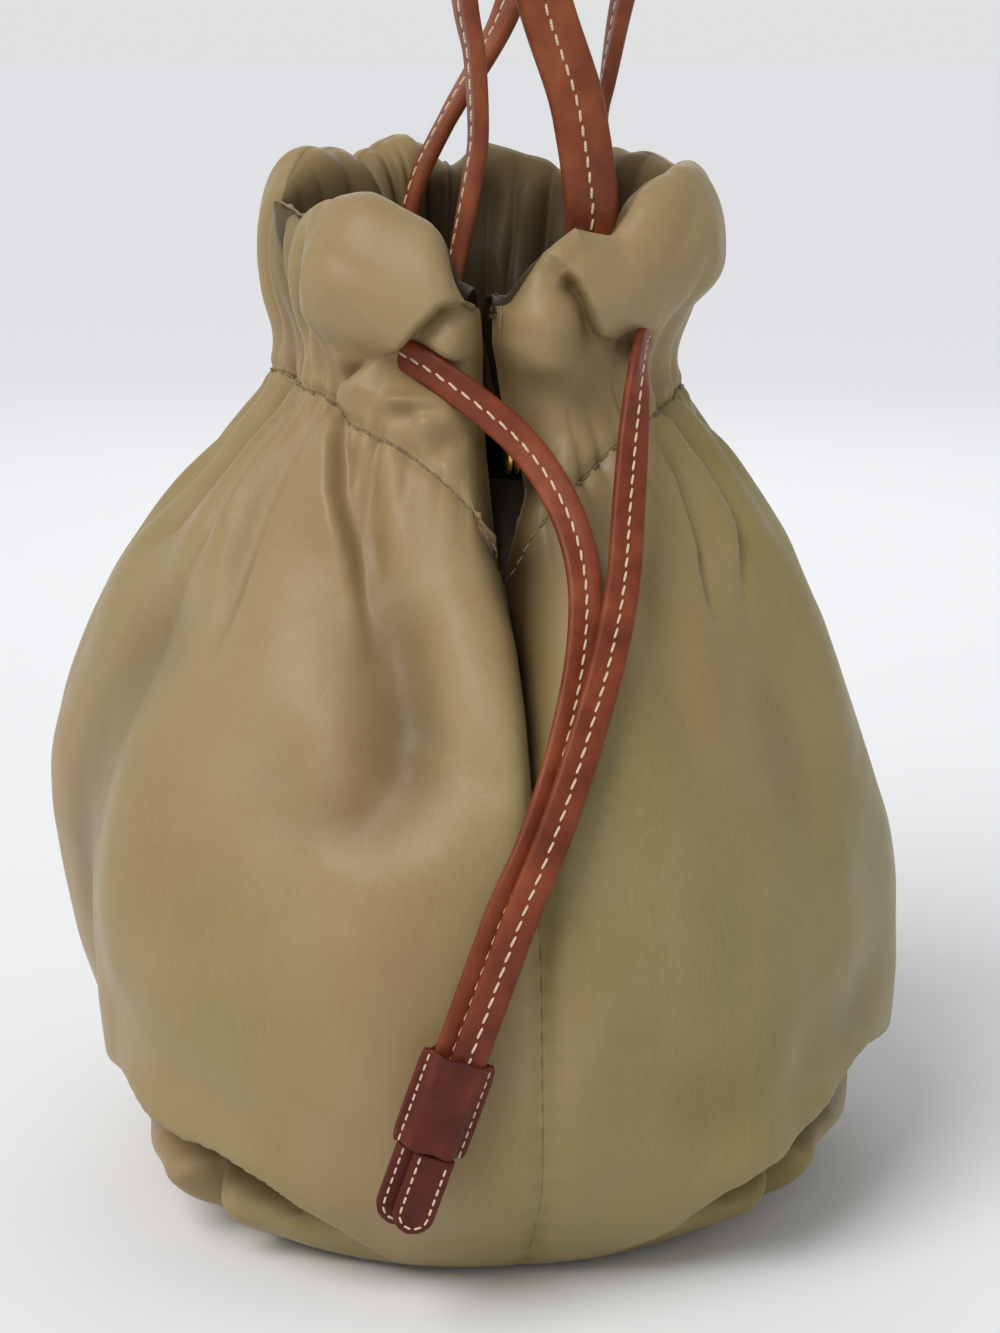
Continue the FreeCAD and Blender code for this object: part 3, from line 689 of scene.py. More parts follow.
# Levels of the cloth from the base up the outside, over the rim and down inside:
# height, reach to the left, right, near and far sides, and how square the plan is there.
LEVELS = np.array([
    (0.3, 66, 66, 83, 80, 2.25),
    (1.5, 74, 76, 90, 88, 2.3),
    (6, 82, 86, 97, 95, 2.35),
    (14, 91, 99, 105, 103, 2.35),
    (27, 101, 110.5, 113, 110, 2.3),
    (41, 107, 116.5, 118, 115, 2.25),
    (61, 112.5, 120.5, 122.5, 120, 2.15),
    (85, 116, 119.5, 124.5, 123, 2.1),
    (102, 117.5, 117, 124, 122, 2.05),
    (120, 117, 112.5, 121, 120, 2.0),
    (137, 112.5, 107, 116, 115, 2.0),
    (154, 105, 101, 108, 108, 2.0),
    (170, 97, 94, 99, 99, 2.0),
    (184, 88.5, 86, 89.5, 90, 2.0),
    (198, 77.5, 75.5, 79.5, 80, 2.0),
    (212, 65.5, 64.5, 69, 70, 2.0),
    (222, 57.5, 57, 61.5, 61, 2.0),
    (231, 54, 53.5, 59, 57, 2.0),
    (240, 55.5, 56, 60.5, 59, 2.0),
    (250, 58.5, 61.5, 63, 62, 2.0),
    (262, 60.5, 66.5, 65.5, 65, 2.0),
    (273, 60.5, 68, 65, 66, 2.0),
    (282, 58.5, 66.5, 62.5, 64.5, 2.0),
    (287.5, 55, 63, 59.5, 61, 2.0),
    (289, 51.5, 59.5, 56, 58, 2.0),
    (286, 48.5, 56.5, 53, 55, 2.0),
    (277, 45.5, 53.5, 49.5, 51.5, 2.0),
    (262, 42, 49.5, 45.5, 47.5, 2.0),
    (243, 40.5, 46, 45, 45.5, 2.0),
    (229, 41, 43, 45, 45, 2.0),
    (215, 46, 46, 49, 50, 2.0),
])
RIM_LEVEL = 24
PROFILE_STEPS = 700
SEAM_HEADING = 2.0
# How far the rim lies below its highest level at each heading.
RIM_DROP = [
    (-180, 4), (-163, 1), (-146, 9), (-125, 3), (-100, 7), (-80, 4), (-64, 9), (-50, 7), (-36, 8), (-24, 14),
    (-12, 19), (2, 22), (12, 18), (21, 13), (32, 17), (44, 8), (58, 1), (78, 0), (96, 6), (112, 1),
    (130, 0), (146, 8), (160, 3), (170, 0), (180, 4), (182, 4),
]
# Height of the channel's stitches at each heading.
STITCH_LINE = [
    (-180, 199), (-150, 213), (-120, 225), (-90, 230), (-63, 229), (-49, 228), (-40, 224), (-36, 220),
    (-26, 216.6), (-19, 214), (-13, 210), (-7.6, 206), (-4.4, 202), (-1, 196), (2, 194), (5, 197),
    (7.9, 201), (12.6, 204.7), (20, 210), (29.6, 215.3), (50, 221.5), (66, 225), (90, 227), (120, 225),
    (150, 213), (180, 199), (182, 199),
]
# Headings of the two edges of the slit at each height: height, left edge, right edge.
SLIT = [
    (194, 2, 2), (199, 1.4, 3), (205, 0.2, 5.5), (212, -0.8, 9.0), (220, -1.4, 8.4), (228, -2.4, 4.0),
    (240, -3.0, -0.4), (250, -4.2, -0.6), (262, -6.6, 0.4), (270, -8.6, 1.4), (290, -10, 3),
]
PARTED = 0.5


def smooth_profile():
    """The levels as a dense, smoothed profile, with the share of its length at each step."""
    mean = LEVELS[:, 1:5].mean(axis=1)
    steps = np.hypot(np.diff(LEVELS[:, 0]), np.diff(mean))
    reach = np.concatenate([[0], np.cumsum(steps)])
    dense = np.linspace(0, reach[-1], PROFILE_STEPS)
    table = np.stack([np.interp(dense, reach, column) for column in LEVELS.T], axis=1)
    spread = 3.2 / (dense[1] - dense[0])
    kernel = np.exp(-0.5 * (np.arange(-30, 31) / spread) ** 2)
    kernel /= kernel.sum()
    padded = np.vstack([2 * table[0] - table[30:0:-1], table, 2 * table[-1] - table[-2:-32:-1]])
    smooth = np.stack([np.convolve(column, kernel, "valid") for column in padded.T], axis=1)
    return smooth, reach[RIM_LEVEL] / reach[-1]


PROFILE, RIM_SHARE = smooth_profile()


def cloth_form(heading, share):
    """Points of the plain form at headings in degrees (0 near, 90 right) and shares of the profile."""
    index = np.clip(share, 0, 1) * (PROFILE_STEPS - 1)
    height, left, right, near, far, power = (
        np.interp(index, np.arange(PROFILE_STEPS), column) for column in PROFILE.T
    )
    angle = np.radians(heading)
    sine, cosine = np.sin(angle), np.cos(angle)
    x_reach = np.where(sine > 0, right, left)
    y_reach = np.where(cosine > 0, near, far)
    x = x_reach * np.sign(sine) * np.abs(sine) ** (2 / power)
    y = -y_reach * np.sign(cosine) * np.abs(cosine) ** (2 / power)
    drop = np.interp(heading, *zip(*RIM_DROP))
    lifted = np.maximum(height - 233, 0) / 56
    return np.stack([x, y, height - drop * lifted], axis=-1)


def share_of_height(height):
    """The share of the profile at a height on the outside."""
    outside = int(RIM_SHARE * (PROFILE_STEPS - 1))
    return np.interp(height, PROFILE[:outside, 0], np.arange(outside) / (PROFILE_STEPS - 1))


def side_headings(side, count=340):
    """Headings of one panel's columns, closer together beside the seams."""
    dense = np.linspace(SEAM_HEADING, SEAM_HEADING + 180, 2000)
    gap = np.minimum(dense - SEAM_HEADING, SEAM_HEADING + 180 - dense)
    weight = 1 + 4.5 * np.exp(-(gap / 9) ** 2) + 0.8 * np.exp(-(gap / 35) ** 2)
    reach = np.cumsum(weight)
    reach = (reach - reach[0]) / (reach[-1] - reach[0])
    columns = np.interp(np.linspace(0, 1, count), reach, dense)
    return columns if side == "right" else (2 * SEAM_HEADING - columns)[::-1]


def wrap(heading):
    """A heading between -180 and 180 degrees."""
    return (heading + 180) % 360 - 180


# ---- folds ------------

# Folds of the cloth: kind, width, height and overhang in millimetres, then a line of heading and height
# pairs. A valley or ridge is round and a crease is sharp. A lap stands proud on one side of its line, hangs
# over it and tucks in on the other side; a positive height is proud to the right of a falling line. A tuck
# is a lap that hardly stands proud and has a steep-walled pocket.
FOLDS = [
    ("lap", 9, -8, 3.5, [(-8, 272), (-15, 267), (-20.5, 258), (-24.5, 250), (-32, 243)]),
    ("lap", 5, 7, 3, [(-32, 240), (-37, 233), (-39, 226), (-37, 220)]),
    ("valley", 5, 5, 0, [(-28, 243), (-18, 239), (-8, 233)]),
    ("ridge", 9, 5, 0, [(-27, 232), (-18, 226), (-9, 216)]),
    ("crease", 2.4, 3, 0, [(-24, 222), (-18, 225), (-12, 224)]),
    ("crease", 2.2, 2.6, 0, [(-16, 214), (-11, 218), (-7, 219)]),
    ("ridge", 11, 4.5, 0, [(-38, 272), (-44, 258), (-46, 246)]),
    ("ridge", 8, 4.5, 0, [(-9, 262), (-12, 253), (-15, 246)]),
    ("lap", 8, 6.5, 2.5, [(17, 276), (21, 269), (25.5, 258), (29.5, 250), (37, 245)]),
    ("crease", 3, 5, 0, [(37, 245), (43, 243), (50, 240)]),
    ("ridge", 11, 8, 0, [(12, 268), (14, 254), (14, 242), (13, 230)]),
    ("ridge", 14, 4.5, 0, [(50, 276), (60, 262), (66, 252)]),
    ("crease", 3, 5.5, 0, [(-55, 276), (-54, 266), (-55, 252), (-60, 236)]),
    ("crease", 3, 5, 0, [(-80, 272), (-76, 258), (-68, 238)]),
    ("crease", 2.6, 4, 0, [(70, 286), (74, 266), (66, 240)]),
    ("crease", 3.4, 6, 0, [(97, 288), (92, 262), (84, 238)]),
    ("crease", 3.4, 6, 0, [(126, 288), (118, 262), (108, 238)]),
    ("crease", 3.4, 6.5, 0, [(-101, 288), (-98, 262), (-92, 238)]),
    ("crease", 3.4, 6, 0, [(-128, 288), (-120, 262), (-112, 238)]),
    ("crease", 3.4, 7, 0, [(147, 286), (150, 262), (152, 238)]),
    ("crease", 3.4, 7, 0, [(-146, 286), (-148, 262), (-150, 238)]),
    ("lap", 5, -7, 1, [(-39, 222), (-38, 214), (-35, 205), (-29, 192), (-24, 174)]),
    ("valley", 4.5, 4, 0, [(-51, 223), (-51, 206), (-50, 186), (-49, 166)]),
    ("valley", 5, 4.5, 0, [(-63, 225), (-65, 206), (-66, 184)]),
    ("valley", 4, 3.5, 0, [(-30, 212), (-26, 200), (-22, 186)]),
    ("valley", 12, 4, 0, [(-20, 184), (-17, 168), (-15, 155), (-10, 145)]),
    ("valley", 11, 4, 0, [(-14, 150), (-17, 138), (-24, 120)]),
    ("ridge", 12, 4.5, 0, [(-9, 190), (-8, 172), (-6, 156), (-4, 140)]),
    ("ridge", 16, 3, 0, [(-40, 190), (-38, 166), (-34, 140)]),
    ("lap", 4.5, -4.5, 1.5, [(40, 220), (43, 206), (41, 192), (36, 172)]),
    ("lap", 4.5, -4.5, 1.5, [(51, 221), (56, 208), (53, 192), (45, 174)]),
    ("valley", 4.5, 4, 0, [(66, 224), (76, 206), (80, 188), (70, 170)]),
    ("valley", 8, 3, 0, [(27, 208), (26, 186), (25, 160), (26, 130)]),
    ("ridge", 12, 4, 0, [(10, 192), (9, 170), (9, 146)]),
    ("valley", 5, 4.5, 0, [(92, 222), (94, 204), (96, 186)]),
    ("valley", 5, 5, 0, [(-82, 226), (-84, 204), (-86, 180)]),
    ("valley", 5, 5, 0, [(112, 222), (116, 204), (118, 182)]),
    ("valley", 5, 5, 0, [(-104, 224), (-107, 204), (-110, 180)]),
    ("valley", 5, 5.5, 0, [(134, 218), (138, 200), (140, 176)]),
    ("valley", 5, 5.5, 0, [(-134, 218), (-138, 200), (-140, 176)]),
    ("valley", 5.5, 6.5, 0, [(156, 210), (160, 192), (163, 168)]),
    ("valley", 5.5, 6.5, 0, [(-156, 210), (-158, 192), (-160, 168)]),
    ("tuck", 18.5, 27, 3,
     [(-82, 43), (-75, 45), (-64, 49), (-54, 45), (-43, 40), (-34, 33), (-28, 25), (-24, 16)]),
    ("crease", 4.2, 12, 0, [(-51, 36), (-53, 20), (-54, 5)]),
    ("tuck", 18.5, -27, 3,
     [(82, 43), (74, 45), (62, 49), (52, 46), (40, 40), (33, 33), (27, 25), (22, 16)]),
    ("crease", 4.2, 12, 0, [(45, 34), (47, 18), (48, 5)]),
    ("tuck", 13, -16, 2, [(-106, 44), (-118, 46), (-130, 38), (-142, 28), (-150, 16)]),
    ("tuck", 13, 16, 2, [(106, 44), (117, 47), (128, 38), (140, 28), (148, 16)]),
    ("ridge", 9, 3, 0, [(26, 30), (31, 37), (38, 42)]),
    ("valley", 6, 3, 0, [(27, 20), (31, 29), (36, 36)]),
    ("valley", 12, 3, 0, [(-34, 42), (-44, 54), (-58, 62), (-70, 62)]),
    ("valley", 12, 2.5, 0, [(30, 44), (40, 56), (54, 64), (70, 62)]),
]
# How deep the end seam and the slit above it lie at each height, and how far the left panel's edge
# hangs over the seam there.
CLEFT_DEPTH = [
    (0, 1.4), (20, 2.4), (60, 2.8), (100, 3.2), (118, 3.8), (130, 5.5), (142, 10), (156, 15), (170, 18),
    (185, 20), (196, 19), (206, 12), (225, 10), (262, 10), (285, 8),
]
CLEFT_OVERHANG = [
    (0, 0), (110, 0), (126, 2.0), (142, 4.0), (158, 4.5), (175, 4.0), (190, 2.0), (200, 0), (290, 0),
]
# How far a lap and a tuck swell above their line, and how steep the pocket's wall is below it.
LAP_SHAPES = {"lap": (0.35, 1.7), "tuck": (0.04, 4)}
# Gathers: spacing, seed, height, and how fast they fade below and above the stitches.
FINE_GATHERS = (4.8, 11, 1.9, 6.0, 5.0)
FRONT_GATHERS = (7.5, 14, 1.6, 7.0, 9.0)
MIDDLE_GATHERS = (11.5, 12, 3.8, 20.0, 13.0)
LARGE_GATHERS = (27.0, 13, 3.5, 60.0, 38.0)
NECK_RADIUS = 57
GROOVE_DEPTH = 1.8
GROOVE_WIDTH = 1.8
# How the facing is drawn in beside the slit: depth and width.
FACING_CLEFT = (-5.0, 4.0)
CORNER_DROP = 9
FACING_CORNER_DROP = 15
LOWEST = 0.25
# Fold depth in millimetres that scales the painted shade in the folds.
PAINTED_SHADE_DEPTH = 14.0
BODY_ROWS = 210
COLLAR_ROWS = 86
FACING_ROWS = 38
CLOTH_THICKNESS = 0.7


def distance_to_line(points, line):
    """Distance of points from a line of points, signed across it, and the share along it."""
    best = np.full(len(points), 1e9)
    signed = np.zeros(len(points))
    shares = np.zeros(len(points))
    for number, (start, end) in enumerate(zip(line, line[1:])):
        run = end - start
        raw = (points - start) @ run / (run @ run)
        share = np.clip(raw, 0, 1)
        offset = points - start - share[:, None] * run
        distance = np.linalg.norm(offset, axis=1)
        closer = distance < best
        best[closer] = distance[closer]
        outward = unit(np.array([start[0], start[1], 0.0]))
        side = np.sign(offset @ np.cross(outward, unit(run)))
        signed[closer] = (distance * side)[closer]
        shares[closer] = ((number + share) / (len(line) - 1))[closer]
    return best, signed, shares


def lap_moves(normals, run, signed, ends, kind, width, height, over):
    """How far each point moves for a lap or a tuck along a run."""
    bulge, steepness = LAP_SHAPES[kind]
    if kind == "tuck":
        normals = unit(normals * (1, 1, 0.1))
    proud_side = math.copysign(1, height)
    above = np.maximum(signed * proud_side, 0)
    under = np.maximum(-signed * proud_side, 0)
    swell = bulge * np.exp(-(above / (1.5 * width)) ** 2)
    pocket = -np.exp(-(under / width) ** steepness) * smooth_step(under, -1, 2.5)
    lift = abs(height) * np.where(above > 0, swell, pocket) * ends
    slide = over * np.where(above > 0, np.exp(-(above / (0.8 * width)) ** 2), np.exp(-under)) * ends
    across = unit(np.cross(normals, run)) * -proud_side
    return normals * lift[:, None] + across * slide[:, None]


def fold_moves(points, normals, kind, width, height, over, line):
    """How far each point moves for one fold."""
    heading, level = np.array(line, float).T
    path = cloth_form(heading, share_of_height(level))
    distance, signed, share = distance_to_line(points, path)
    ends = smooth_step(share, -0.2, 0.3) * (1 - smooth_step(share, 0.6, 1.1))
    if kind in LAP_SHAPES:
        over = over * (distance < 4 * width)
        return lap_moves(normals, unit(path[-1] - path[0]), signed, ends, kind, width, height, over)
    if kind == "crease":
        shape = -np.exp(-distance / width) + 0.32 * np.exp(-((distance - 2.2 * width) / (1.3 * width)) ** 2)
    elif kind == "valley":
        shape = -np.exp(-(distance / width) ** 2) + 0.30 * np.exp(-((distance - 1.9 * width) / width) ** 2)
    else:
        shape = np.exp(-(distance / width) ** 2)
    return normals * (height * shape * ends)[:, None]


def waves(count, low, high, seed):
    """Random plane waves with lengths between low and high, in millimetres."""
    random = np.random.default_rng(seed)
    direction = unit(random.normal(size=(count, 3)))
    length = random.uniform(low, high, count)
    return direction * (2 * math.pi / length)[:, None], random.uniform(0, 2 * math.pi, count)


def ripple(points, count, low, high, seed):
    """A smooth random height field in space, about one high."""
    vectors, phases = waves(count, low, high, seed)
    total = np.zeros(len(points))
    for vector, phase in zip(vectors, phases):
        total += np.sin(points @ vector + phase)
    return total / math.sqrt(count / 2)


def gathers(heading, spacing, seed):
    """Folds round the neck: sharp valleys between round ridges, uneven in spacing and depth."""
    random = np.random.default_rng(seed)
    turns = 2 * math.pi * NECK_RADIUS / spacing
    angle = np.radians(heading)
    warp = sum(random.uniform(0.3, 0.9) * np.sin(k * angle + random.uniform(0, 6.28)) for k in (2, 3, 5, 7))
    long_swell = np.sin(3 * angle + random.uniform(0, 6.28))
    short_swell = np.sin(5 * angle + random.uniform(0, 6.28))
    phase = turns / 2 * angle + warp * 1.4
    return (1 - 2 * np.exp(-np.abs(np.sin(phase)) * 2.2)) * (0.65 + 0.35 * long_swell * short_swell)


def gathered(kind, heading, above):
    """One kind of gathers, which fades away from the stitches; above is the height over them."""
    spacing, seed, amount, fade_below, fade_above = kind
    fade = np.where(above > 0, np.exp(-above / fade_above), np.exp(above / fade_below))
    return gathers(heading, spacing, seed) * amount * fade


def neck_folds(heading, height, off_seam):
    """How far the folds of the gathered neck stand out."""
    turn = wrap(heading)
    above = height - np.interp(heading, *zip(*STITCH_LINE))
    side = smooth_step(np.abs(turn), 18, 42) * (1 - 0.5 * smooth_step(np.abs(turn), 150, 175))
    front = np.exp(-(turn / 42) ** 4)
    move = gathered(FINE_GATHERS, heading, above) * (0.35 + 0.65 * side) * off_seam
    move += gathered(FRONT_GATHERS, heading, above) * front * off_seam
    move += (gathered(MIDDLE_GATHERS, heading, above) + gathered(LARGE_GATHERS, heading, above)) * side
    return move - GROOVE_DEPTH * np.exp(-(above / GROOVE_WIDTH) ** 2) * off_seam


def end_cleft(turn, height, across, inside):
    """How far the cloth moves beside the seam or slit, where across is the distance from it."""
    depth = np.interp(height, *zip(*CLEFT_DEPTH)) * np.where(np.abs(turn) < 90, 1.0, 0.85)
    width = 2.4 + np.where(turn < SEAM_HEADING, 0.25, 0.46) * depth
    if inside:
        depth, width = FACING_CLEFT
    pucker = np.sin(height * 2 * math.pi / 7.3 + 1.7 * np.sin(height / 11)) * np.exp(-across / 4.5)
    return 0.35 * pucker * (height < 150) - depth * np.exp(-(across / width) ** 1.7)


def relaxed(points, times):
    """A grid of points with its sharpest kinks rounded off. The borders keep their places."""
    for _ in range(times):
        middle = points[1:-1, 1:-1]
        around = points[:-2, 1:-1] + points[2:, 1:-1] + points[1:-1, :-2] + points[1:-1, 2:]
        points[1:-1, 1:-1] = 0.5 * middle + 0.125 * around
    return points


def cloth_points(heading, share, gap, inside):
    """The folded cloth at a grid of headings and shares, and the painted shade of its folds there, from 0 to
    1.

    The gap is the angle from the nearer end of the panel.
    """
    shape = heading.shape
    base = cloth_form(heading, share)
    up = np.gradient(base, axis=0)
    around = np.gradient(base, axis=1)
    normal = unit(np.cross(around, up)).reshape(-1, 3)
    flat = base.reshape(-1, 3)
    height = flat[:, 2]
    heading = heading.ravel()
    turn = wrap(heading)
    near_end = np.abs(turn) < 90
    across = np.radians(gap.ravel()) * np.linalg.norm(flat[:, :2], axis=1)
    slide = sum(fold_moves(flat, normal, *fold) for fold in FOLDS)
    move = neck_folds(heading, height, smooth_step(across, 5, 16))
    move += 2.2 * ripple(flat * (1, 1, 0.55), 9, 60, 110, 21) * smooth_step(height, 4, 40)
    move += 0.7 * ripple(flat * (1, 1, 0.6), 14, 22, 45, 22) * smooth_step(height, 3, 20)
    move += end_cleft(turn, height, across, inside)
    corner = np.exp(-(across / 6) ** 2) * smooth_step(height, 250, 272) * near_end
    if inside:
        slide *= 0.4
        slide[:, 2] -= FACING_CORNER_DROP * corner
        move += 1.3 * ripple(flat, 12, 16, 40, 23)
        move += 1.2 * (gathers(heading, *MIDDLE_GATHERS[:2]) + gathers(heading, *LARGE_GATHERS[:2]))
        move += 6.5 * np.exp(-((turn + 64) / 10) ** 2)
        edge = np.ones_like(height)
    else:
        left_side = turn < SEAM_HEADING
        hang = np.interp(height, *zip(*CLEFT_OVERHANG)) * near_end * np.exp(-((across - 7) / 6.5) ** 2)
        move += hang * np.where(left_side, 0.9, 0.35)
        slide[:, 0] += hang * np.where(left_side, 1.0, -0.35)
        slide[:, 2] -= CORNER_DROP * corner
        edge = smooth_step(height, 0.5, 7)
    moved = flat + (normal * move[:, None] + slide) * edge[:, None]
    moved[:, 2] = np.maximum(moved[:, 2], LOWEST)
    # Painted shade: the deeper a fold pushes the cloth in, the darker its colour.
    painted_fold_shade = -(move + np.einsum("ij,ij->i", slide, normal)) * edge / PAINTED_SHADE_DEPTH
    return moved.reshape(*shape, 3), np.clip(painted_fold_shade - 0.12, 0, 1).reshape(shape)


def cloth_rows(columns):
    """Shares of the panel, collar and facing rows for these columns."""
    stitched = share_of_height(np.interp(columns, *zip(*STITCH_LINE)))
    floor, rim, hem = (np.full_like(stitched, share) for share in (0, RIM_SHARE, 1))
    return [
        np.linspace(floor, stitched, BODY_ROWS),
        np.linspace(stitched, rim, COLLAR_ROWS)[1:],
        np.linspace(rim, hem, FACING_ROWS)[1:],
    ]


def open_slit(side, columns, whole):
    """Headings of each row's columns, and the angle to the nearer end; the collars part at both ends."""
    height = cloth_form(np.full(len(whole), SEAM_HEADING), whole[:, 0])[:, 2]
    sewn = np.arange(len(whole)) < BODY_ROWS
    heights, left_edge, right_edge = zip(*SLIT)
    near = np.interp(height, heights, left_edge if side == "left" else right_edge)
    near = np.where(sewn, SEAM_HEADING, near)
    parted = np.where(sewn, 0, PARTED * smooth_step(height, 199, 212))
    sign = 1 if side == "right" else -1
    share = (columns - SEAM_HEADING) * sign / 180
    first = near[:, None]
    last = (SEAM_HEADING + sign * (180 - parted))[:, None]
    heading = first + (last - first) * share
    gap = np.minimum(np.abs(heading - first), np.abs(last - heading))
    return heading, gap


def cloth_piece(node, points, painted_fold_shade):
    """One sewn piece of nylon, with its thickness and the painted shade of its folds."""
    material = FACING if node.endswith("facing") else NYLON
    piece = mesh_object(node + "_cloth", points.reshape(-1, 3), grid_faces(*painted_fold_shade.shape), material)
    painted_shade_attribute = piece.data.attributes.new("painted_fold_shade", "FLOAT", "POINT")
    painted_shade_attribute.data.foreach_set("value", painted_fold_shade.ravel().astype(np.float32))
    thick = piece.modifiers.new("thickness", "SOLIDIFY")
    thick.thickness = CLOTH_THICKNESS * MM
    thick.offset = -1
    use(piece, "root", "nylon", node)


def cloth_side(side):
    """The panel, collar and facing of one side."""
    columns = side_headings(side)
    whole = np.vstack(cloth_rows(columns))
    heading, gap = open_slit(side, columns, whole)
    outside, painted_fold_shade = cloth_points(heading, whole, gap, inside=False)
    inner, _ = cloth_points(heading, whole, gap, inside=True)
    blend = smooth_step(whole, RIM_SHARE - 0.012, RIM_SHARE + 0.03)
    points = relaxed(outside * (1 - blend[..., None]) + inner * blend[..., None], 4)
    painted_fold_shade = painted_fold_shade * (1 - blend)
    stitched = BODY_ROWS - 1
    rim = stitched + COLLAR_ROWS - 1
    for name, rows in {
        "panel": slice(0, BODY_ROWS),
        "collar": slice(stitched, rim + 1),
        "facing": slice(rim, None),
    }.items():
        cloth_piece(f"{side}_{name}", points[rows], painted_fold_shade[rows])
    line = points[stitched] if side == "right" else points[stitched][::-1]
    frames = strap_frames(line, unit(line * (1, 1, 0)))
    name = f"{side}_channel_stitches"
    stitches = stitch_row(name, line, frames, 0.15, CHANNEL_STITCH, (4, 4), KHAKI_THREAD, faces=(1,))
    use(stitches, "root", "nylon")
    return points


shells = {side: cloth_side(side) for side in ("left", "right")}


def base_cloth():
    """The base: rings of nylon inside the panels' lower edges."""
    rim = np.vstack([shells["left"][0], shells["right"][0][::-1][1:-1]])
    points = []
    for ring in np.linspace(1, 0.02, 40):
        layer = rim * (ring, ring, 1)
        dome = 0.9 * ripple(layer, 8, 30, 70, 31) * (1 - ring ** 6)
        layer[:, 2] = 0.3 + np.abs(dome)
        points.append(layer)
    points = np.array(points)
    piece = mesh_object("base_panel_cloth", points.reshape(-1, 3), disc_faces(*points.shape[:2]), NYLON)
    use(piece, "root", "nylon", "base_panel")


base_cloth()


def lining_half(side):
    """One half of the lining, which hangs inside the panels and clear of the drawn-in end seams."""
    top = 0.985 * share_of_height(np.array([209.0]))[0]
    columns = side_headings(side, 90)
    share = np.linspace(0.0, top, 70)[:, None] * np.ones_like(columns)
    heading = np.broadcast_to(columns, share.shape)
    base = cloth_form(heading, share)
    height = base[..., 2]
    turn = np.abs(wrap(heading - SEAM_HEADING))
    seam = np.exp(-(np.radians(np.minimum(turn, 180 - turn)) * 80 / 14) ** 2)
    drawn = 24.0 - 10.0 * smooth_step(height, 45, 90)
    drawn += 12.0 * seam * smooth_step(height, 110, 150)
    drawn += 1.2 * ripple(base.reshape(-1, 3), 12, 18, 50, 41).reshape(share.shape)
    points = base - unit(base * (1, 1, 0)) * drawn[..., None]
    points[..., 2] = np.maximum(points[..., 2], 3.0)
    piece = mesh_object(f"{side}_lining_cloth", points.reshape(-1, 3), grid_faces(*share.shape), PAINTED_SHADE_LINING)
    use(piece, "root", "lining", f"{side}_lining")


def lining_base():
    """The lining's base, which lies on the nylon one."""
    columns = np.linspace(-180, 180, 120, endpoint=False)
    rim = cloth_form(columns, np.zeros_like(columns)) * (0.96, 0.96, 0)
    points = np.array([rim * ring + (0, 0, 3.4) for ring in np.linspace(1, 0.02, 24)])
    points[..., 2] += 0.5 * ripple(points.reshape(-1, 3), 8, 20, 60, 42).reshape(points.shape[:2])
    piece = mesh_object("base_lining_cloth", points.reshape(-1, 3), disc_faces(*points.shape[:2]), PAINTED_SHADE_LINING)
    use(piece, "root", "lining", "base_lining")


for side in ("left", "right"):
    lining_half(side)
lining_base()



def drawstring_loop():
    """The run of the drawstring round the bag, inside the channel."""
    turn = np.radians(np.linspace(-16, 211, 120))
    places = np.stack([2.5 + 49.5 * np.cos(turn), 51 * np.sin(turn), np.full_like(turn, 243.0)], axis=1)
    outward = unit(places * (1, 1, 0))
    frames = strap_frames(places, outward)
    piece = ribbon("drawstring_loop_strap", places, frames, STRAP_PROFILE, STRAP_LEATHER)
    use(piece, "root", "drawstring_leather", "drawstring_loop")


drawstring_loop()

# ---- press studs ------------

# Section of a stud half: distance from its axis, and along it.
STUD_SECTION = [
    (0.0, 1.15), (2.2, 1.1), (4.2, 0.9), (5.2, 0.62), (5.75, 0.72), (6.1, 0.5), (6.25, 0.1),
    (6.1, -0.35), (5.6, -0.6), (4.4, -0.62), (4.2, -1.1), (3.3, -1.2), (3.0, -0.7), (0.0, -0.65),
]


def stud_half(node, facing):
    """One half of a press stud: a dished cap with a rolled rim, its face along X."""
    low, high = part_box(node)
    centre = np.array([(low.x + high.x) / 2, (low.y + high.y) / 2, (low.z + high.z) / 2]) / MM
    turns = circle(48)
    points = [
        centre + (facing * across, radius * math.cos(a), radius * math.sin(a))
        for radius, across in STUD_SECTION for a in turns
    ]
    faces = grid_faces(len(STUD_SECTION), len(turns), close=True)
    if facing > 0:
        faces = [face[::-1] for face in faces]
    piece = mesh_object(node + "_metal", points, faces, GOLD)
    use(piece, "root", "stud_brass", node)


for end in ("near", "far"):
    stud_half(f"{end}_stud_cap", -1)
    stud_half(f"{end}_stud_socket", 1)

# ---- floor and light ------------

FLOOR_RINGS = (0.02, 0.2, 0.5, 1.0, 2.0, 4.0, 9.0)
SUN_POWER = 1.75
SUN_ANGLE = math.radians(35)
SUN_FROM = Vector((-0.75, -0.65, 1.15))
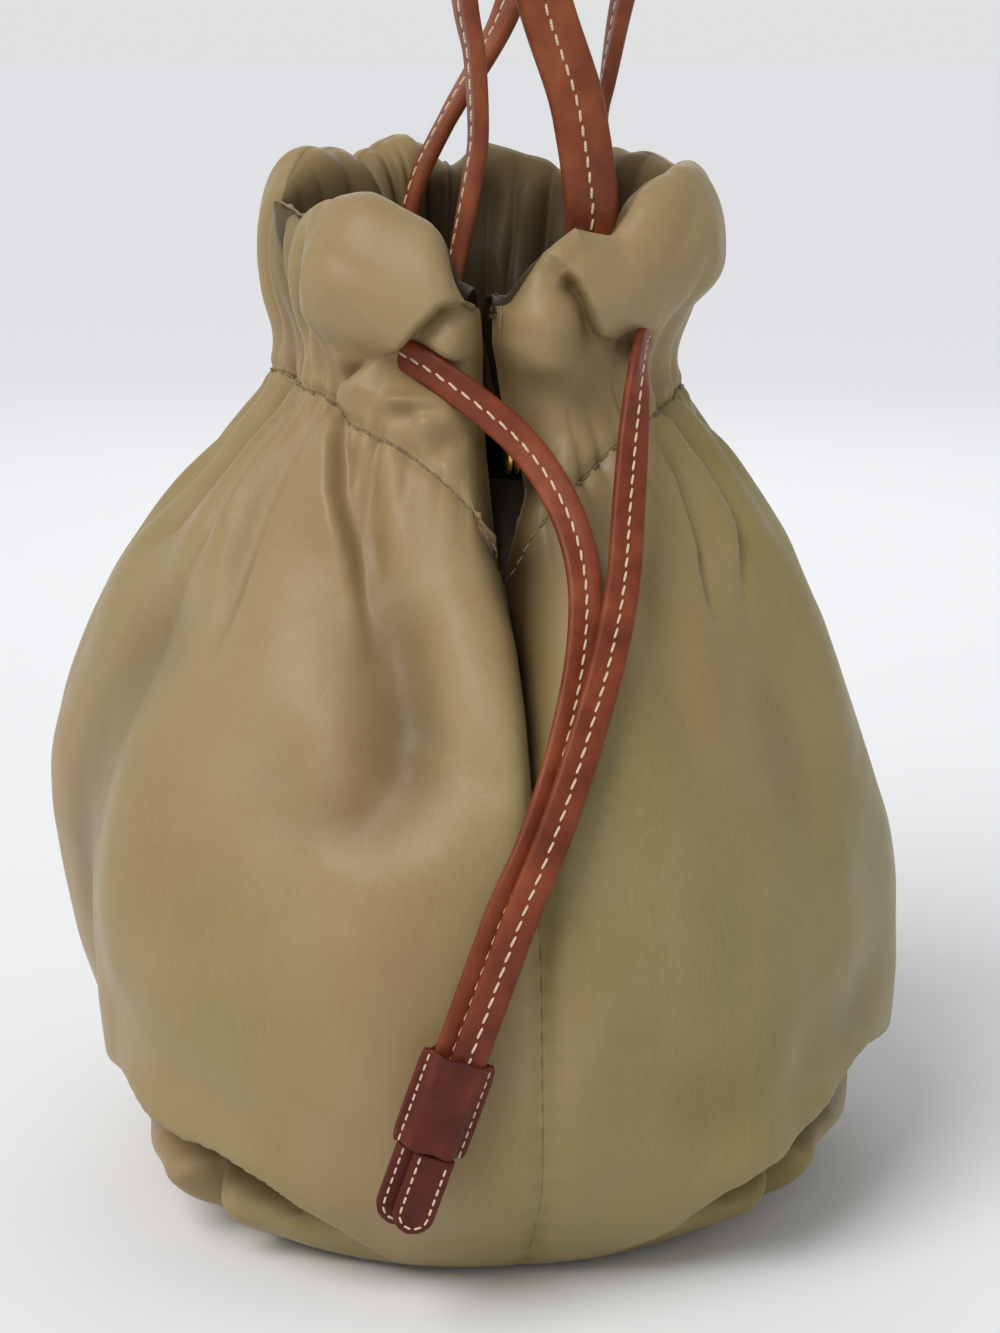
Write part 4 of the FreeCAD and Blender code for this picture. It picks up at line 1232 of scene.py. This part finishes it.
# Disc lamps: name, place, height of the aim, size and power.
LAMPS = [
    ("key", (-0.75, -1.0, 1.25), 0.15, 0.9, 3.5),
    ("top", (0.0, 0.2, 1.7), 0.2, 1.2, 1),
    ("back", (0.2, 1.1, 0.9), 0.2, 1.0, 2),
]
# The studio around the bag is brightest near the floor: position up the sky, and colour there.
SKY = [(0.1, (0.74, 0.745, 0.76, 1)), (0.6, (0.42, 0.43, 0.45, 1))]


def add_floor():
    """A wide pale floor."""
    rings = np.array(FLOOR_RINGS) / MM
    turns = circle(64)
    points = [(ring * math.cos(a), ring * math.sin(a), 0) for ring in rings for a in turns]
    faces = grid_faces(len(rings), len(turns), close=True)
    faces.append(list(range(len(turns)))[::-1])
    mesh_object("floor", points, faces, floor_material())


def place_lamp(lamp, place, aim):
    """Put a lamp at a place and turn it toward its aim."""
    holder = bpy.data.objects.new(lamp.name, lamp)
    holder.location = place
    holder.rotation_euler = (Vector(place) - Vector(aim)).to_track_quat("Z", "Y").to_euler()
    bpy.context.scene.collection.objects.link(holder)


def add_lights():
    """A wide soft sun from the upper left, and three soft lamps."""
    sun = bpy.data.lights.new("sun", "SUN")
    sun.energy = SUN_POWER
    sun.angle = SUN_ANGLE
    place_lamp(sun, SUN_FROM, (0, 0, 0))
    for name, place, aim_height, size, power in LAMPS:
        lamp = bpy.data.lights.new(name, "AREA")
        lamp.shape = "DISK"
        lamp.size = size
        lamp.energy = power
        place_lamp(lamp, place, (0, 0, aim_height))


def add_sky():
    """Plain studio light from all round."""
    world = bpy.data.worlds.new("studio")
    world.use_nodes = True
    tree = world.node_tree
    direction = tree.nodes.new("ShaderNodeTexCoord").outputs["Generated"]
    split = tree.nodes.new("ShaderNodeSeparateXYZ")
    brightness = tree.nodes.new("ShaderNodeValToRGB")
    background = tree.nodes["Background"]
    tree.links.new(direction, split.inputs["Vector"])
    tree.links.new(split.outputs["Z"], brightness.inputs["Fac"])
    tree.links.new(brightness.outputs["Color"], background.inputs["Color"])
    for stop, (position, colour) in zip(brightness.color_ramp.elements, SKY):
        stop.position = position
        stop.color = colour
    background.inputs["Strength"].default_value = 1.0
    bpy.context.scene.world = world


add_floor()
add_lights()
add_sky()
